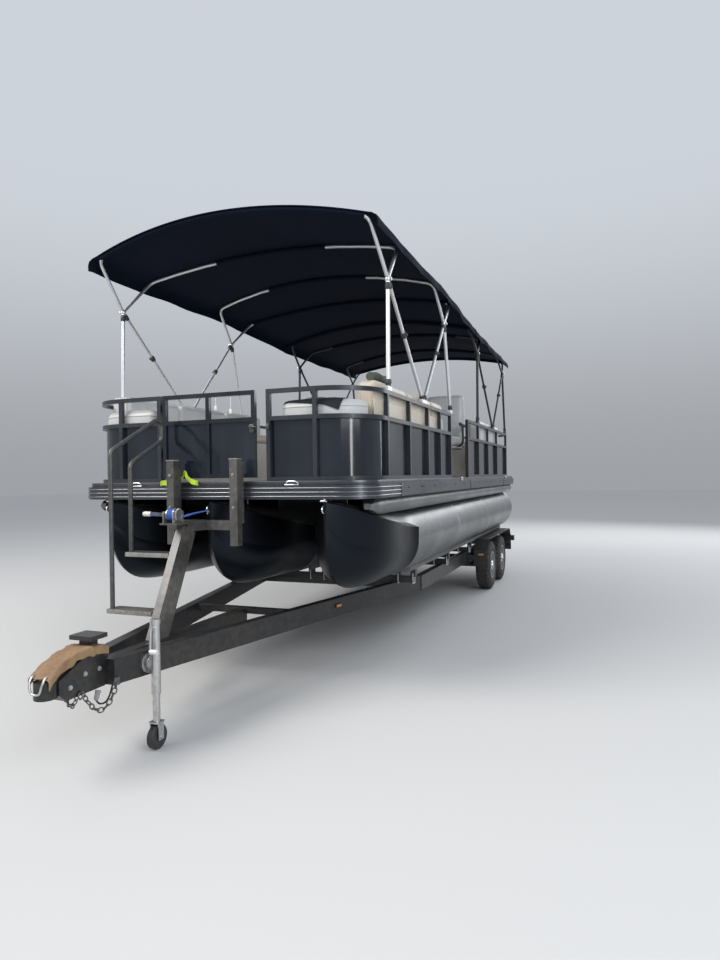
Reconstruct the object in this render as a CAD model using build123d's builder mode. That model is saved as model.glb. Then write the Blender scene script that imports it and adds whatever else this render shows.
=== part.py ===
"""Pontoon boat with three tubes, resting on its tandem axle trailer. Millimetres, +X bow, +Y port, +Z up."""

import math
import os

from build123d import *

os.makedirs("parts", exist_ok=True)

# Overall stations, measured along X from the bow fence plane
tongue_reach = 1680
stern_reach = 8020
bow_x = (stern_reach - tongue_reach) / 2
seat_gap = 0.3

# Tubes
tube_r = 317.5
tube_z = 1077.5
tube_y = 945
nose_end = -1240
tube_end = -6980
nose_lap = 3
nose_sections = [
    {"x": nose_end, "half": tube_r + 4.5, "knee": tube_r + 0.8, "knee_z": 1040, "low": tube_z - tube_r - nose_lap,
     "crease": 1187, "top": tube_z + tube_r + nose_lap},
    {"x": -620, "half": 312, "knee": 296, "knee_z": 1070, "low": 762, "crease": 1275, "top": 1404},
    {"x": -260, "half": 236, "knee": 205, "knee_z": 1106, "low": 806, "crease": 1352, "top": 1428},
    {"x": -60, "half": 112, "knee": 88, "knee_z": 1188, "low": 940, "crease": 1418, "top": 1446},
    {"x": 45, "half": 12, "knee": 8.5, "knee_z": 1300, "low": 1150, "crease": 1448, "top": 1456},
]

# Deck
deck_front = 30
deck_back = -7150
deck_half = 1275
deck_top = 1605
deck_t = 30
deck_low = deck_top - deck_t
member_h = 95
member_low = deck_low - member_h
member_half = 1264.7
member_pitch = 400
deck_corner = 230
body_outer = member_half - 5
body_sections = [
    {"x": -148, "inner": 1168, "outer": body_outer - 38, "low": 1392, "top": 1436},
    {"x": -180, "inner": 1148, "outer": body_outer - 16, "low": 1371, "top": 1456},
    {"x": -240, "inner": 1122, "outer": body_outer - 5, "low": 1356, "top": 1471},
    {"x": -400, "inner": 1095, "outer": body_outer, "low": 1348, "top": member_low},
    {"x": tube_end + 30, "inner": 1095, "outer": body_outer, "low": 1348, "top": member_low},
]
rail_half = 1295
rail_front = 60
rail_back = -7180
rail_low = 1475

# Fence
bar = 32
fence_front = 0
fence_back = -6780
fence_half = 1256
fence_corner = 396
fence_low = deck_top + seat_gap
fence_top = 2285
mid_top = 2084
panel_t = 3
gate_post = 485
side_open_front = -2507
side_open_back = -3388
stern_open_low = 330
stern_open_high = 1000
gate_clear = 12

# Soft tops
pole_r = 14
pole_half = 1256
crown_rise = 155
bow_lean = 100
bow_half = pole_half - 30
cloth_t = 8
cloth_half = 1275
hem_half = 1318
hem_drop = 90

# Trailer
beam_w = 76
beam_top = 590
beam_low = 440
frame_half = 940
frame_knee = -2350
frame_end = -7120
tongue_front = 1220
tongue_half = 90
cross_top = 650
bunk_off = 85
bunk_w = 80
bunk_t = 40
bunk_front = -1600
bunk_back = -6900
bar_stations = [-1900, -3300, -4600, -5650, -6850]

# Running gear
tyre_r = 343
tyre_w = 205
tyre_y = 1137.5
rim_r = 190
axle_xs = {"front": -5200, "rear": -6100}
axle_half = 1030
spindle_r = 24

# Winch stand and jack
post_w = 60
stop_y = 275
jack_x = 1015
jack_y = 250
caster_r = 74
caster_w = 44
socket_r = 25.8

# Outboard
pod_back = -7450
pivot_x = -7400
pivot_z = 1470
swivel_x = -7520
prop_z = 600
prop_r = 172


def at(station):
    """Turn a station from the bow fence plane into the shared X."""
    return bow_x + station


def block(x0, x1, y0, y1, z0, z1, mode=Mode.ADD):
    """Add a box between two stations, two widths and two heights."""
    with Locations((at((x0 + x1) / 2), (y0 + y1) / 2, (z0 + z1) / 2)):
        Box(abs(x1 - x0), abs(y1 - y0), abs(z1 - z0), mode=mode)


def spot(point):
    """Shared position of a point given by its station, width and height."""
    return Vector(at(point[0]), point[1], point[2])


def rod(start, end, radius, mode=Mode.ADD):
    """Add a round bar between two points."""
    low = spot(start)
    run = spot(end) - low
    with Locations(Plane(origin=low, z_dir=run)):
        Cylinder(radius, run.length, align=(Align.CENTER, Align.CENTER, Align.MIN), mode=mode)


def beam(start, end, wide, deep, mode=Mode.ADD):
    """Add a square bar between two points, its width held level."""
    low = spot(start)
    run = spot(end) - low
    side = Vector(0, 1, 0) if abs(run.Y) < 1e-6 else Vector(0, 0, 1).cross(run)
    with Locations(Plane(origin=low, x_dir=side, z_dir=run)):
        Box(wide, deep, run.length, align=(Align.CENTER, Align.CENTER, Align.MIN), mode=mode)


def ball(point, radius, mode=Mode.ADD):
    """Add a ball at a point."""
    with Locations(spot(point)):
        Sphere(radius, mode=mode)


def bent_tube(points, radius, bend):
    """Add a round tube along a path with rounded corners."""
    with BuildLine() as path:
        FilletPolyline(*[spot(point) for point in points], radius=bend)
    with BuildSketch(Plane(origin=path.line @ 0, z_dir=path.line % 0)) as ring:
        Circle(radius)
    sweep(ring.sketch, path=path.line)


def ring_band(front, back, half, corner, low, high, wall):
    """Add a band with rounded corners, standing on its outer outline."""
    middle = at((front + back) / 2)
    with BuildSketch(Plane.XY.offset(low)) as outline:
        with Locations((middle, 0)):
            RectangleRounded(front - back, 2 * half, corner)
            RectangleRounded(front - back - 2 * wall, 2 * half - 2 * wall, corner - wall, mode=Mode.SUBTRACT)
    extrude(outline.sketch, amount=high - low)


def keep(x0, x1, y0, y1):
    """Keep only what stands inside a plan rectangle."""
    block(x0, x1, y0, y1, 0, 6000, mode=Mode.INTERSECT)


def save(built, name, label):
    """Name a finished sub-part and write its file."""
    built.part.label = label
    export_step(built.part, f"parts/{name}.step")


def nose_outline(row, side):
    """Draw half of a nose section: a round bilge, a flared flank and the top above the crease."""
    knee = (side * row["knee"], row["knee_z"])
    edge = (side * row["half"], row["crease"])
    bilge = (0.669 * knee[0], row["low"] + 0.286 * (row["knee_z"] - row["low"]))
    brow = (0.72 * edge[0], row["crease"] + 0.56 * (row["top"] - row["crease"]))
    ThreePointArc((0, row["low"]), bilge, knee)
    Line(knee, edge)
    ThreePointArc(edge, brow, (0, row["top"]))


def side_body(side):
    """Rounded body along the outer side of a tube, between the tube and the deck."""
    faces = []
    for row in body_sections:
        deep = row["top"] - row["low"]
        shoulder = row["outer"] - 0.27 * deep
        foot = shoulder - 0.15 * deep
        with BuildSketch(Plane(origin=(at(row["x"]), 0, 0), x_dir=(0, 1, 0), z_dir=(1, 0, 0))) as outline:
            with BuildLine():
                Polyline((side * foot, row["low"]), (side * row["inner"], row["low"] + 0.1 * deep),
                         (side * row["inner"], row["top"]), (side * shoulder, row["top"]))
                ThreePointArc((side * shoulder, row["top"]), (side * row["outer"], row["top"] - 0.49 * deep),
                              (side * foot, row["low"]))
            make_face()
        faces.append(outline.sketch.face())
    loft(faces, ruled=True)


def pontoon(width, name, label, pod=False):
    """One tube with its pointed nose and the riser that carries the deck."""
    with BuildPart() as tube:
        for row in nose_sections:
            with BuildSketch(Plane(origin=(at(row["x"]), width, 0), x_dir=(0, 1, 0), z_dir=(1, 0, 0))):
                with BuildLine():
                    nose_outline(row, 1)
                    nose_outline(row, -1)
                make_face()
        loft()
        if width:
            side_body(math.copysign(1, width))
        rod((tube_end, width, tube_z), (nose_end, width, tube_z), tube_r)
        for side in (-1, 1):
            inner = width + side * 148
            outer = width + side * 156
            block(tube_end + 30, -760, min(inner, outer), max(inner, outer), 1335, member_low)
        block(tube_end + 30, -560, width - 156, width + 156, member_low - 6, member_low)
        if pod:
            block(pod_back, tube_end + 10, -150, 150, 960, 1440)
            block(pod_back - 12, pod_back, -150, 150, 960, 1150)
    save(tube, name, label)


def members():
    """Cross channels under the deck, tied along both edges."""
    count = int((deck_front - 60 - deck_back - 60) / member_pitch) + 1
    with BuildPart() as channels:
        for side in (-1, 1):
            inner = side * (member_half - 30)
            outer = side * member_half
            block(deck_back + 260, deck_front - 260, min(inner, outer), max(inner, outer), member_low, deck_low)
        for index in range(count):
            station = deck_front - 60 - index * member_pitch
            reach = member_half if -7000 < station < -180 else member_half - 160
            block(station - 25, station + 25, -reach, reach, member_low, deck_low)
        for width in (-700, 700):
            block(deck_back + 60, deck_front - 60, width - 20, width + 20, member_low, deck_low)
    save(channels, "crossmembers", "deck crossmembers")


def deck():
    """Flat deck board with rounded corners."""
    with BuildPart() as board:
        with BuildSketch(Plane.XY.offset(deck_low)):
            with Locations((at((deck_front + deck_back) / 2), 0)):
                RectangleRounded(deck_front - deck_back, 2 * deck_half, deck_corner)
        extrude(amount=deck_t)
    save(board, "deck", "deck")


def rub_rail():
    """Ribbed rail around the deck edge."""
    wall = rail_half - member_half - seat_gap
    with BuildPart() as rail:
        ring_band(rail_front, rail_back, rail_half, deck_corner + 20, rail_low, deck_low, wall)
        for low in (rail_low + 14, rail_low + 44, rail_low + 74):
            ring_band(rail_front + 5, rail_back - 5, rail_half + 5, deck_corner + 25, low, low + 14, wall)
    save(rail, "rub_rail", "rub rail")


fence_spans = [
    {"name": "port_bow", "x": (side_open_front - bar / 2, 60), "y": (gate_post - bar / 2, 1400)},
    {"name": "port_aft", "x": (-6900, side_open_back + bar / 2), "y": (stern_open_high - bar / 2, 1400)},
    {"name": "starboard_bow", "x": (-3340, 60), "y": (-1400, -gate_post + bar / 2)},
    {"name": "starboard_aft", "x": (-6900, -3340 - seat_gap), "y": (-1400, stern_open_low + bar / 2)},
]

side_posts = {
    "port_bow": [-430, -1010, -1600, -2060, side_open_front],
    "port_aft": [side_open_back, -4060, -4740, -5480, -6384],
    "starboard_bow": [-430, -1010, -1600, -2200, -2780, -3324],
    "starboard_aft": [-3357, -4060, -4740, -5480, -6384],
}

end_posts = {
    "port_bow": [(fence_front, gate_post), (fence_front, 860)],
    "port_aft": [(fence_back, stern_open_high)],
    "starboard_bow": [(fence_front, -gate_post), (fence_front, -860)],
    "starboard_aft": [(fence_back, stern_open_low), (fence_back, -330), (fence_back, -860)],
}


def gate_pins(plane_x, hinge_y, post_y, faces_in):
    """Fixed hinge pins and tabs on the gate's post."""
    for height in (1800, 2160):
        rod((plane_x + faces_in * 28, hinge_y, height - 24), (plane_x + faces_in * 28, hinge_y, height + 84), 5)
        for low in (height - 24, height + 62):
            block(plane_x + faces_in * 16, plane_x + faces_in * 33, min(hinge_y, post_y), max(hinge_y, post_y),
                  low, low + 20)


def fence(row):
    """One run of square tube fence with its rails and posts."""
    sign = 1 if row["name"].startswith("port") else -1
    half = bar / 2
    with BuildPart() as run:
        for low in (fence_low, mid_top - bar, fence_top - bar):
            ring_band(fence_front + half, fence_back - half, fence_half + half, fence_corner + half, low,
                      low + bar, bar)
        keep(*row["x"], *row["y"])
        for station in side_posts[row["name"]]:
            block(station - half, station + half, sign * fence_half - half, sign * fence_half + half,
                  fence_low, fence_top)
        for station, width in end_posts[row["name"]]:
            block(station - half, station + half, width - half, width + half, fence_low, fence_top)
        if row["name"] == "starboard_bow":
            gate_pins(fence_front, -gate_post + 24, -gate_post - 10, -1)
        if row["name"] == "starboard_aft":
            gate_pins(fence_back, stern_open_low + 24, stern_open_low - 10, 1)
    save(run, "fence_" + row["name"], "fence frame " + row["name"].replace("_", " "))


def panels(row):
    """The sheet that closes the lower part of one fence run."""
    inset = bar / 2 + seat_gap
    clear = (0, 30) if row["name"].startswith("starboard") else (30, 0)
    with BuildPart() as sheet:
        ring_band(fence_front - inset, fence_back + inset, fence_half - inset, fence_corner - inset,
                  fence_low, mid_top - 8, panel_t)
        keep(*row["x"], row["y"][0] + clear[0], row["y"][1] - clear[1])
    save(sheet, "panel_" + row["name"], "fence panel " + row["name"].replace("_", " "))


def gate(name, label, plane_x, low_y, high_y, hinge_y, faces_in):
    """A framed gate leaf with its sheet and hinge knuckles."""
    half = bar / 2
    low = deck_top + 30
    toward = 1 if hinge_y > high_y else -1
    edge = high_y if toward > 0 else low_y
    with BuildPart() as leaf:
        for width in (low_y + half, high_y - half, (low_y + high_y) / 2):
            block(plane_x - half, plane_x + half, width - half, width + half, low, fence_top)
        for base in (low, mid_top - bar, fence_top - bar):
            block(plane_x - half, plane_x + half, low_y, high_y, base, base + bar)
        block(plane_x - 2, plane_x + 2, low_y + 4, high_y - 4, low + 4, mid_top - 10)
        for height in (1800, 2160):
            rod((plane_x + faces_in * 28, hinge_y, height), (plane_x + faces_in * 28, hinge_y, height + 60), 9)
            tab_low = min(edge - toward * 20, hinge_y)
            tab_high = max(edge - toward * 20, hinge_y)
            block(plane_x + faces_in * 16, plane_x + faces_in * 32, tab_low, tab_high, height + 5, height + 55)
            rod((plane_x + faces_in * 28, hinge_y, height - 2), (plane_x + faces_in * 28, hinge_y, height + 62),
                5 + seat_gap, mode=Mode.SUBTRACT)
    save(leaf, name, label)


seat_top = 1990
cushion_top = 2075
bolster_top = 2190
back_top = 2360
seat_outer = 1232
seat_inner = 560
seat_front = -24
bolster_back = -270
back_inner = 1054
seat_corner = 372


def seat_run(back, sign, low, high):
    """Add a seat run whose outer front corner follows the fence."""
    outer = sign * seat_outer
    bend = sign * (seat_outer - seat_corner)
    middle = seat_corner * (1 - math.sqrt(0.5))
    with BuildSketch(Plane.XY.offset(low)) as plan:
        with BuildLine():
            Polyline((at(seat_front), bend), (at(seat_front), sign * seat_inner), (at(back), sign * seat_inner),
                     (at(back), outer), (at(seat_front - seat_corner), outer))
            ThreePointArc((at(seat_front - seat_corner), outer),
                          (at(seat_front - middle), sign * (seat_outer - middle)), (at(seat_front), bend))
        make_face()
    extrude(plan.sketch, amount=high - low)


def bow_lounge(side, sign, back):
    """Seat box, cushion, low bow bolster and side backrest of one bow lounge."""
    with BuildPart() as base:
        seat_run(back, sign, deck_top, seat_top)
    save(base, f"lounge_{side}_base", f"{side} bow lounge base")
    near = sign * 400
    far = sign * 1400
    face = sign * back_inner
    with BuildPart() as pads:
        seat_run(back, sign, seat_top, back_top)
        fillet(pads.edges().group_by(Axis.Z)[-1], 40)
        block(bolster_back, 100, min(near, far), max(near, far), bolster_top, back_top + 100, mode=Mode.SUBTRACT)
        block(back - 100, bolster_back + 1, min(near, face), max(near, face), cushion_top, back_top + 100,
              mode=Mode.SUBTRACT)
    save(pads, f"lounge_{side}_pads", f"{side} bow lounge pads")


aft_runs = [
    {"front": -4400, "back": -5900, "low_y": 640, "high_y": 1232, "rest": (-5900, -4400, 1054, 1232)},
    {"front": -6150, "back": -6735, "low_y": -840, "high_y": 260, "rest": (-6735, -6560, -840, 260)},
]


def aft_lounge():
    """Port side and stern seats behind the helm."""
    with BuildPart() as base:
        for row in aft_runs:
            block(row["back"], row["front"], row["low_y"], row["high_y"], deck_top, seat_top)
    save(base, "lounge_aft_base", "aft lounge base")
    with BuildPart() as pads:
        for row in aft_runs:
            block(*row["rest"], seat_top, back_top)
        fillet(pads.edges().group_by(Axis.Z)[-1], 40)
        for row in aft_runs:
            block(row["back"], row["front"], row["low_y"], row["high_y"], seat_top, cushion_top)
    save(pads, "lounge_aft_pads", "aft lounge pads")


def console():
    """Helm console with a raked dash and a low screen."""
    with BuildPart() as helm:
        with BuildSketch(Plane.XZ.offset(560)):
            with BuildLine():
                Polyline((at(-3480), deck_top), (at(-4020), deck_top), (at(-4090), 2240), (at(-3960), 2470),
                         (at(-3700), 2560), (at(-3480), 2380), close=True)
            make_face()
        extrude(amount=600)
        block(-4100, -4060, -1130, -600, 1700, 2150, mode=Mode.SUBTRACT)
        rod((-4010, -860, 2330), (-4090, -860, 2375), 26)
        rod((-4010, -860, 2330), (-4170, -860, 2420), 10)
    save(helm, "helm_console", "helm console")


def steering_wheel():
    """Three spoke steering wheel on the raked column."""
    centre = spot((-4150, -860, 2408.75))
    tilt = Vector(-160, 0, 90)
    with BuildPart() as wheel:
        with Locations(Plane(origin=centre, z_dir=tilt)):
            Torus(170, 14)
            Cylinder(30, 26)
            with PolarLocations(90, 3):
                Box(150, 26, 12)
        rod((-4010, -860, 2330), (-4250, -860, 2465), 10 + seat_gap, mode=Mode.SUBTRACT)
    save(wheel, "steering_wheel", "steering wheel")


chair_places = {"helm_chair": (-4720, -790), "port_chair": (-3870, 830)}
chair_back = [
    {"z": 2080, "x": -235, "deep": 110, "half": 225},
    {"z": 2330, "x": -255, "deep": 120, "half": 250},
    {"z": 2520, "x": -270, "deep": 110, "half": 235},
    {"z": 2680, "x": -285, "deep": 80, "half": 150},
]


def chairs():
    """Pedestals and swivelling high back chairs."""
    with BuildPart() as stands:
        for chair_x, chair_y in chair_places.values():
            rod((chair_x, chair_y, deck_top), (chair_x, chair_y, deck_top + 14), 190)
            rod((chair_x, chair_y, deck_top), (chair_x, chair_y, 1955), 36)
            rod((chair_x, chair_y, 1955), (chair_x, chair_y, 1990), 20)
    save(stands, "chair_pedestal", "chair pedestals")
    for name, (chair_x, chair_y) in chair_places.items():
        with BuildPart() as seat:
            block(chair_x - 200, chair_x + 250, chair_y - 240, chair_y + 240, 1956, 2110)
            fillet(seat.edges().filter_by(Axis.Z), 70)
            fillet(seat.edges().group_by(Axis.Z)[-1], 30)
            for row in chair_back:
                with BuildSketch(Plane.XY.offset(row["z"])):
                    with Locations((at(chair_x + row["x"]), chair_y)):
                        RectangleRounded(row["deep"], 2 * row["half"], row["deep"] * 0.35)
            loft()
            block(chair_x - 280, chair_x - 150, chair_y - 150, chair_y + 150, 1990, 2120)
            for side in (-1, 1):
                arm = chair_y + side * 272
                rod((chair_x - 240, arm, 2250), (chair_x + 120, arm, 2270), 24)
                rod((chair_x - 20, arm - side * 30, 2010), (chair_x + 20, arm, 2255), 15)
                rod((chair_x - 235, chair_y + side * 200, 2250), (chair_x - 235, arm, 2250), 14)
            rod((chair_x, chair_y, 1940), (chair_x, chair_y, 1995), 20 + seat_gap, mode=Mode.SUBTRACT)
        save(seat, name, name.replace("_", " "))


tops = [
    {"name": "front", "joints": [(-500, 3140), (-2310, 3180)],
     "feet": [(-475, -1445), (-2540, -1495)],
     "bows": [(0, -170, 3515), (0, -860, 3500), (1, -2020, 3515), (1, -2700, 3488)]},
    {"name": "rear", "joints": [(-4100, 3180), (-6140, 3210)],
     "feet": [(-4060, -5160), (-6330, -5210)],
     "bows": [(0, -3780, 3430), (0, -4420, 3432), (1, -5770, 3432), (1, -6380, 3425)]},
]

foot_z = fence_top + 22
ball_r = 24


def top_legs(row, sign):
    """Upright and raking poles of one side of one soft top."""
    width = sign * pole_half
    with BuildPart() as legs:
        for (joint_x, joint_z), (upright, raking) in zip(row["joints"], row["feet"]):
            ball((joint_x, width, joint_z), ball_r)
            rod((upright, width, foot_z), (joint_x, width, joint_z), pole_r + 2)
            rod((raking, width, foot_z), (joint_x, width, joint_z), pole_r)
            for foot in (upright, raking):
                block(foot - 45, foot + 45, width - 15, width + 15, fence_top + seat_gap, fence_top + 32)
    side = "port" if sign > 0 else "starboard"
    save(legs, f"top_{row['name']}_legs_{side}", f"{row['name']} soft top poles {side}")


def bow_points(joint_x, joint_z, station, height):
    """Points of one bent bow from the port pivot over the crown to the starboard pivot."""
    lean = bow_lean if station > joint_x else -bow_lean
    run = math.hypot(station - joint_x, pole_half - bow_half, height - joint_z)
    share = (ball_r + seat_gap) / run
    foot_x = joint_x + share * (station - joint_x)
    foot_y = pole_half - share * (pole_half - bow_half)
    foot = joint_z + share * (height - joint_z)
    points = [(foot_x, foot_y, foot)]
    for share in (1, 0.78, 0.54, 0.27, 0, -0.27, -0.54, -0.78, -1):
        bulge = 1 - share * share
        points.append((station + lean * bulge, share * bow_half, height + crown_rise * bulge))
    points.append((foot_x, -foot_y, foot))
    return points


def top_bows(row):
    """Bent and arched bows that hold the cloth of one soft top."""
    with BuildPart() as bows:
        for which, station, height in row["bows"]:
            joint_x, joint_z = row["joints"][which]
            bent_tube(bow_points(joint_x, joint_z, station, height), pole_r, 100)
    save(bows, f"top_{row['name']}_bows", f"{row['name']} soft top bows")


def canopy(name, stations):
    """Cloth of one soft top as one curved sheet with its side hems hanging down."""
    with BuildPart() as cloth:
        for station, height in stations:
            low = height + pole_r + 3
            crown = low + crown_rise
            hem = low - hem_drop
            with BuildSketch(Plane(origin=(at(station), 0, 0), x_dir=(0, 1, 0), z_dir=(1, 0, 0))):
                with BuildLine():
                    Line((-hem_half, hem), (-cloth_half, low - 14))
                    ThreePointArc((-cloth_half, low - 14), (0, crown), (cloth_half, low - 14))
                    Polyline((cloth_half, low - 14), (hem_half, hem), (hem_half + cloth_t, hem),
                             (cloth_half + cloth_t, low - 14 + cloth_t))
                    ThreePointArc((cloth_half + cloth_t, low - 14 + cloth_t), (0, crown + cloth_t),
                                  (-cloth_half - cloth_t, low - 14 + cloth_t))
                    Polyline((-cloth_half - cloth_t, low - 14 + cloth_t), (-hem_half - cloth_t, hem),
                             (-hem_half, hem))
                make_face()
        loft(ruled=True)
    save(cloth, "canopy_" + name, name + " canopy cloth")


def trailer_frame():
    """Rails, cross beams, tongue and the brackets under the bunks."""
    mid = (beam_top + beam_low) / 2
    deep = beam_top - beam_low
    with BuildPart() as frame:
        for side in (-1, 1):
            beam((tongue_front, side * tongue_half, mid), (frame_knee - 20, side * frame_half, mid), beam_w, deep)
            beam((frame_knee + 20, side * frame_half, mid), (frame_end, side * frame_half, mid), beam_w, deep)
        beam((tongue_front, 0, mid - 10), (-400, 0, mid - 10), beam_w, deep - 20)
        block(-425, -375, -500, 500, beam_top - 60, beam_top - 10)
        block(frame_knee - 38, frame_knee + 38, -frame_half, frame_half, beam_low + 20, beam_top - 20)
        block(frame_end - 80, frame_end, -1270, 1270, 510, 590)
        for side in (-1, 1):
            block(frame_end - 110, frame_end - 80, side * 1160 - 100, side * 1160 + 100, 512, 588)
        block(tongue_front - 10, tongue_front + 24, -130, 130, beam_low, beam_top)
        for station in bar_stations:
            block(station - 30, station + 30, -1020, 1020, beam_top, cross_top)
            for centre in (-tube_y, 0, tube_y):
                for side in (-1, 1):
                    place = centre + side * bunk_off
                    inside = place - side * 10
                    block(station - 30, station + 30, inside - 25, inside + 25, cross_top, 760)
        for centre in (-tube_y, 0, tube_y):
            for side in (-1, 1):
                bunk_board(centre, side, mode=Mode.SUBTRACT, spare=60)
        for side in (-1, 1):
            for edge, into in ((-4564, -50), (-6736, 50)):
                block(edge, edge + into, min(side * 970, side * 1270), max(side * 970, side * 1270), 500, 545)
    save(frame, "trailer_frame", "trailer frame")


def bunk_board(centre, side, mode=Mode.ADD, spare=0):
    """Board set square to the tube wall it carries."""
    lean = math.asin(bunk_off / tube_r)
    reach = tube_r + seat_gap + bunk_t / 2 - spare / 2
    width = centre + side * reach * math.sin(lean)
    height = tube_z - reach * math.cos(lean)
    wide = bunk_w + spare * 2
    with Locations(Location((at((bunk_front + bunk_back) / 2), width, height), (side * math.degrees(lean), 0, 0))):
        Box(bunk_front - bunk_back + spare, wide, bunk_t + spare, mode=mode)


def bunks():
    """Carpeted boards under the three tubes."""
    with BuildPart() as boards:
        for centre in (-tube_y, 0, tube_y):
            for side in (-1, 1):
                bunk_board(centre, side)
    save(boards, "bunks", "bunk boards")


def axles():
    """Axle beams, spindles and leaf springs under the rails."""
    with BuildPart() as gear:
        for station in axle_xs.values():
            block(station - 30, station + 30, -axle_half, axle_half, tyre_r - 30, tyre_r + 30)
            rod((station, -1215, tyre_r), (station, 1215, tyre_r), spindle_r)
            for side in (-1, 1):
                inner = side * frame_half - 25
                outer = side * frame_half + 25
                block(station - 400, station + 400, inner, outer, tyre_r + 30, tyre_r + 50)
                block(station - 260, station + 260, inner, outer, tyre_r + 20, tyre_r + 62)
                for end in (-395, 395):
                    block(station + end - 25, station + end + 25, inner, outer, tyre_r + 25, beam_low)
    save(gear, "axles", "axles and leaf springs")


def wheel(which, sign):
    """Tyre and rim of one road wheel."""
    station = axle_xs[which]
    side = "port" if sign > 0 else "starboard"
    inner = sign * (tyre_y - tyre_w / 2)
    outer = sign * (tyre_y + tyre_w / 2)
    with BuildPart() as tyre:
        rod((station, inner, tyre_r), (station, outer, tyre_r), tyre_r)
        fillet(tyre.edges().filter_by(GeomType.CIRCLE), 34)
        rod((station, inner - sign * 5, tyre_r), (station, outer + sign * 5, tyre_r), rim_r, mode=Mode.SUBTRACT)
    save(tyre, f"tyre_{which}_{side}", f"{which} {side} tyre")
    with BuildPart() as rim:
        rod((station, inner + sign * 10, tyre_r), (station, outer - sign * 10, tyre_r), rim_r - seat_gap)
        rod((station, inner + sign * 9, tyre_r), (station, inner + sign * 110, tyre_r), rim_r - 14,
            mode=Mode.SUBTRACT)
        rod((station, outer - sign * 9, tyre_r), (station, outer - sign * 70, tyre_r), rim_r - 14,
            mode=Mode.SUBTRACT)
        rod((station, inner + sign * 20, tyre_r), (station, outer - sign * 22, tyre_r), 62)
        with Locations(Plane(origin=spot((station, outer - sign * 60, tyre_r)), z_dir=(0, 1, 0))):
            with PolarLocations(120, 8):
                Cylinder(20, 160, mode=Mode.SUBTRACT)
        rod((station, inner - sign * 5, tyre_r), (station, sign * 1216, tyre_r), spindle_r + seat_gap,
            mode=Mode.SUBTRACT)
    save(rim, f"rim_{which}_{side}", f"{which} {side} rim")


def fender_profile(shrink, drop):
    """Side outline of the mudguard, closed across its open bottom."""
    return [(at(-4560 - shrink), 400 - drop), (at(-4560 - shrink), 620), (at(-4700 - shrink / 2), 757 - shrink),
            (at(-6600 + shrink / 2), 757 - shrink), (at(-6740 + shrink), 620), (at(-6740 + shrink), 400 - drop)]


def fender(sign):
    """Long mudguard over both wheels of one side."""
    side = "port" if sign > 0 else "starboard"
    with BuildPart() as guard:
        with BuildSketch(Plane.XZ.offset(-sign * 1180)) as outer:
            with BuildLine():
                Polyline(*fender_profile(0, 0), close=True)
            make_face()
        extrude(amount=95, both=True)
        with BuildSketch(Plane.XZ.offset(-sign * 1180)) as inner:
            with BuildLine():
                Polyline(*fender_profile(4, 20), close=True)
            make_face()
        extrude(amount=100, both=True, mode=Mode.SUBTRACT)
    save(guard, f"fender_{side}", f"{side} mudguard")


def coupler():
    """Brake actuator case with its ball socket nose."""
    with BuildPart() as head:
        with BuildSketch(Plane.XZ):
            with BuildLine():
                Polyline((at(tongue_front + 24), 435), (at(1540), 435), (at(1588), 480), (at(1588), 555),
                         (at(1390), 645), (at(tongue_front + 24), 645), close=True)
            make_face()
        extrude(amount=62, both=True)
        block(1500, 1655, -42, 42, 470, 545)
        rod((1620, 0, 470), (1620, 0, 565), 60)
        rod((1620, 0, 460), (1620, 0, 505), socket_r, mode=Mode.SUBTRACT)
        ball((1620, 0, 505), socket_r - 3, mode=Mode.SUBTRACT)
        block(1250, 1360, -75, 75, 645, 655)
        block(1265, 1345, -30, 30, 655, 720)
        block(1240, 1370, -80, 80, 720, 745)
    save(head, "coupler", "coupler and brake actuator")


rail_slope = (frame_half - tongue_half) / (tongue_front - frame_knee + 20)
rail_turn = math.atan(rail_slope)


def rail_point(along, away, height):
    """Point beside the port tongue rail, by station, distance off its outer face and height."""
    middle = tongue_half + rail_slope * (tongue_front - along)
    off = beam_w / 2 + away
    return (along + off * math.sin(rail_turn), middle + off * math.cos(rail_turn), height)


pivot_z_jack = 515


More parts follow.
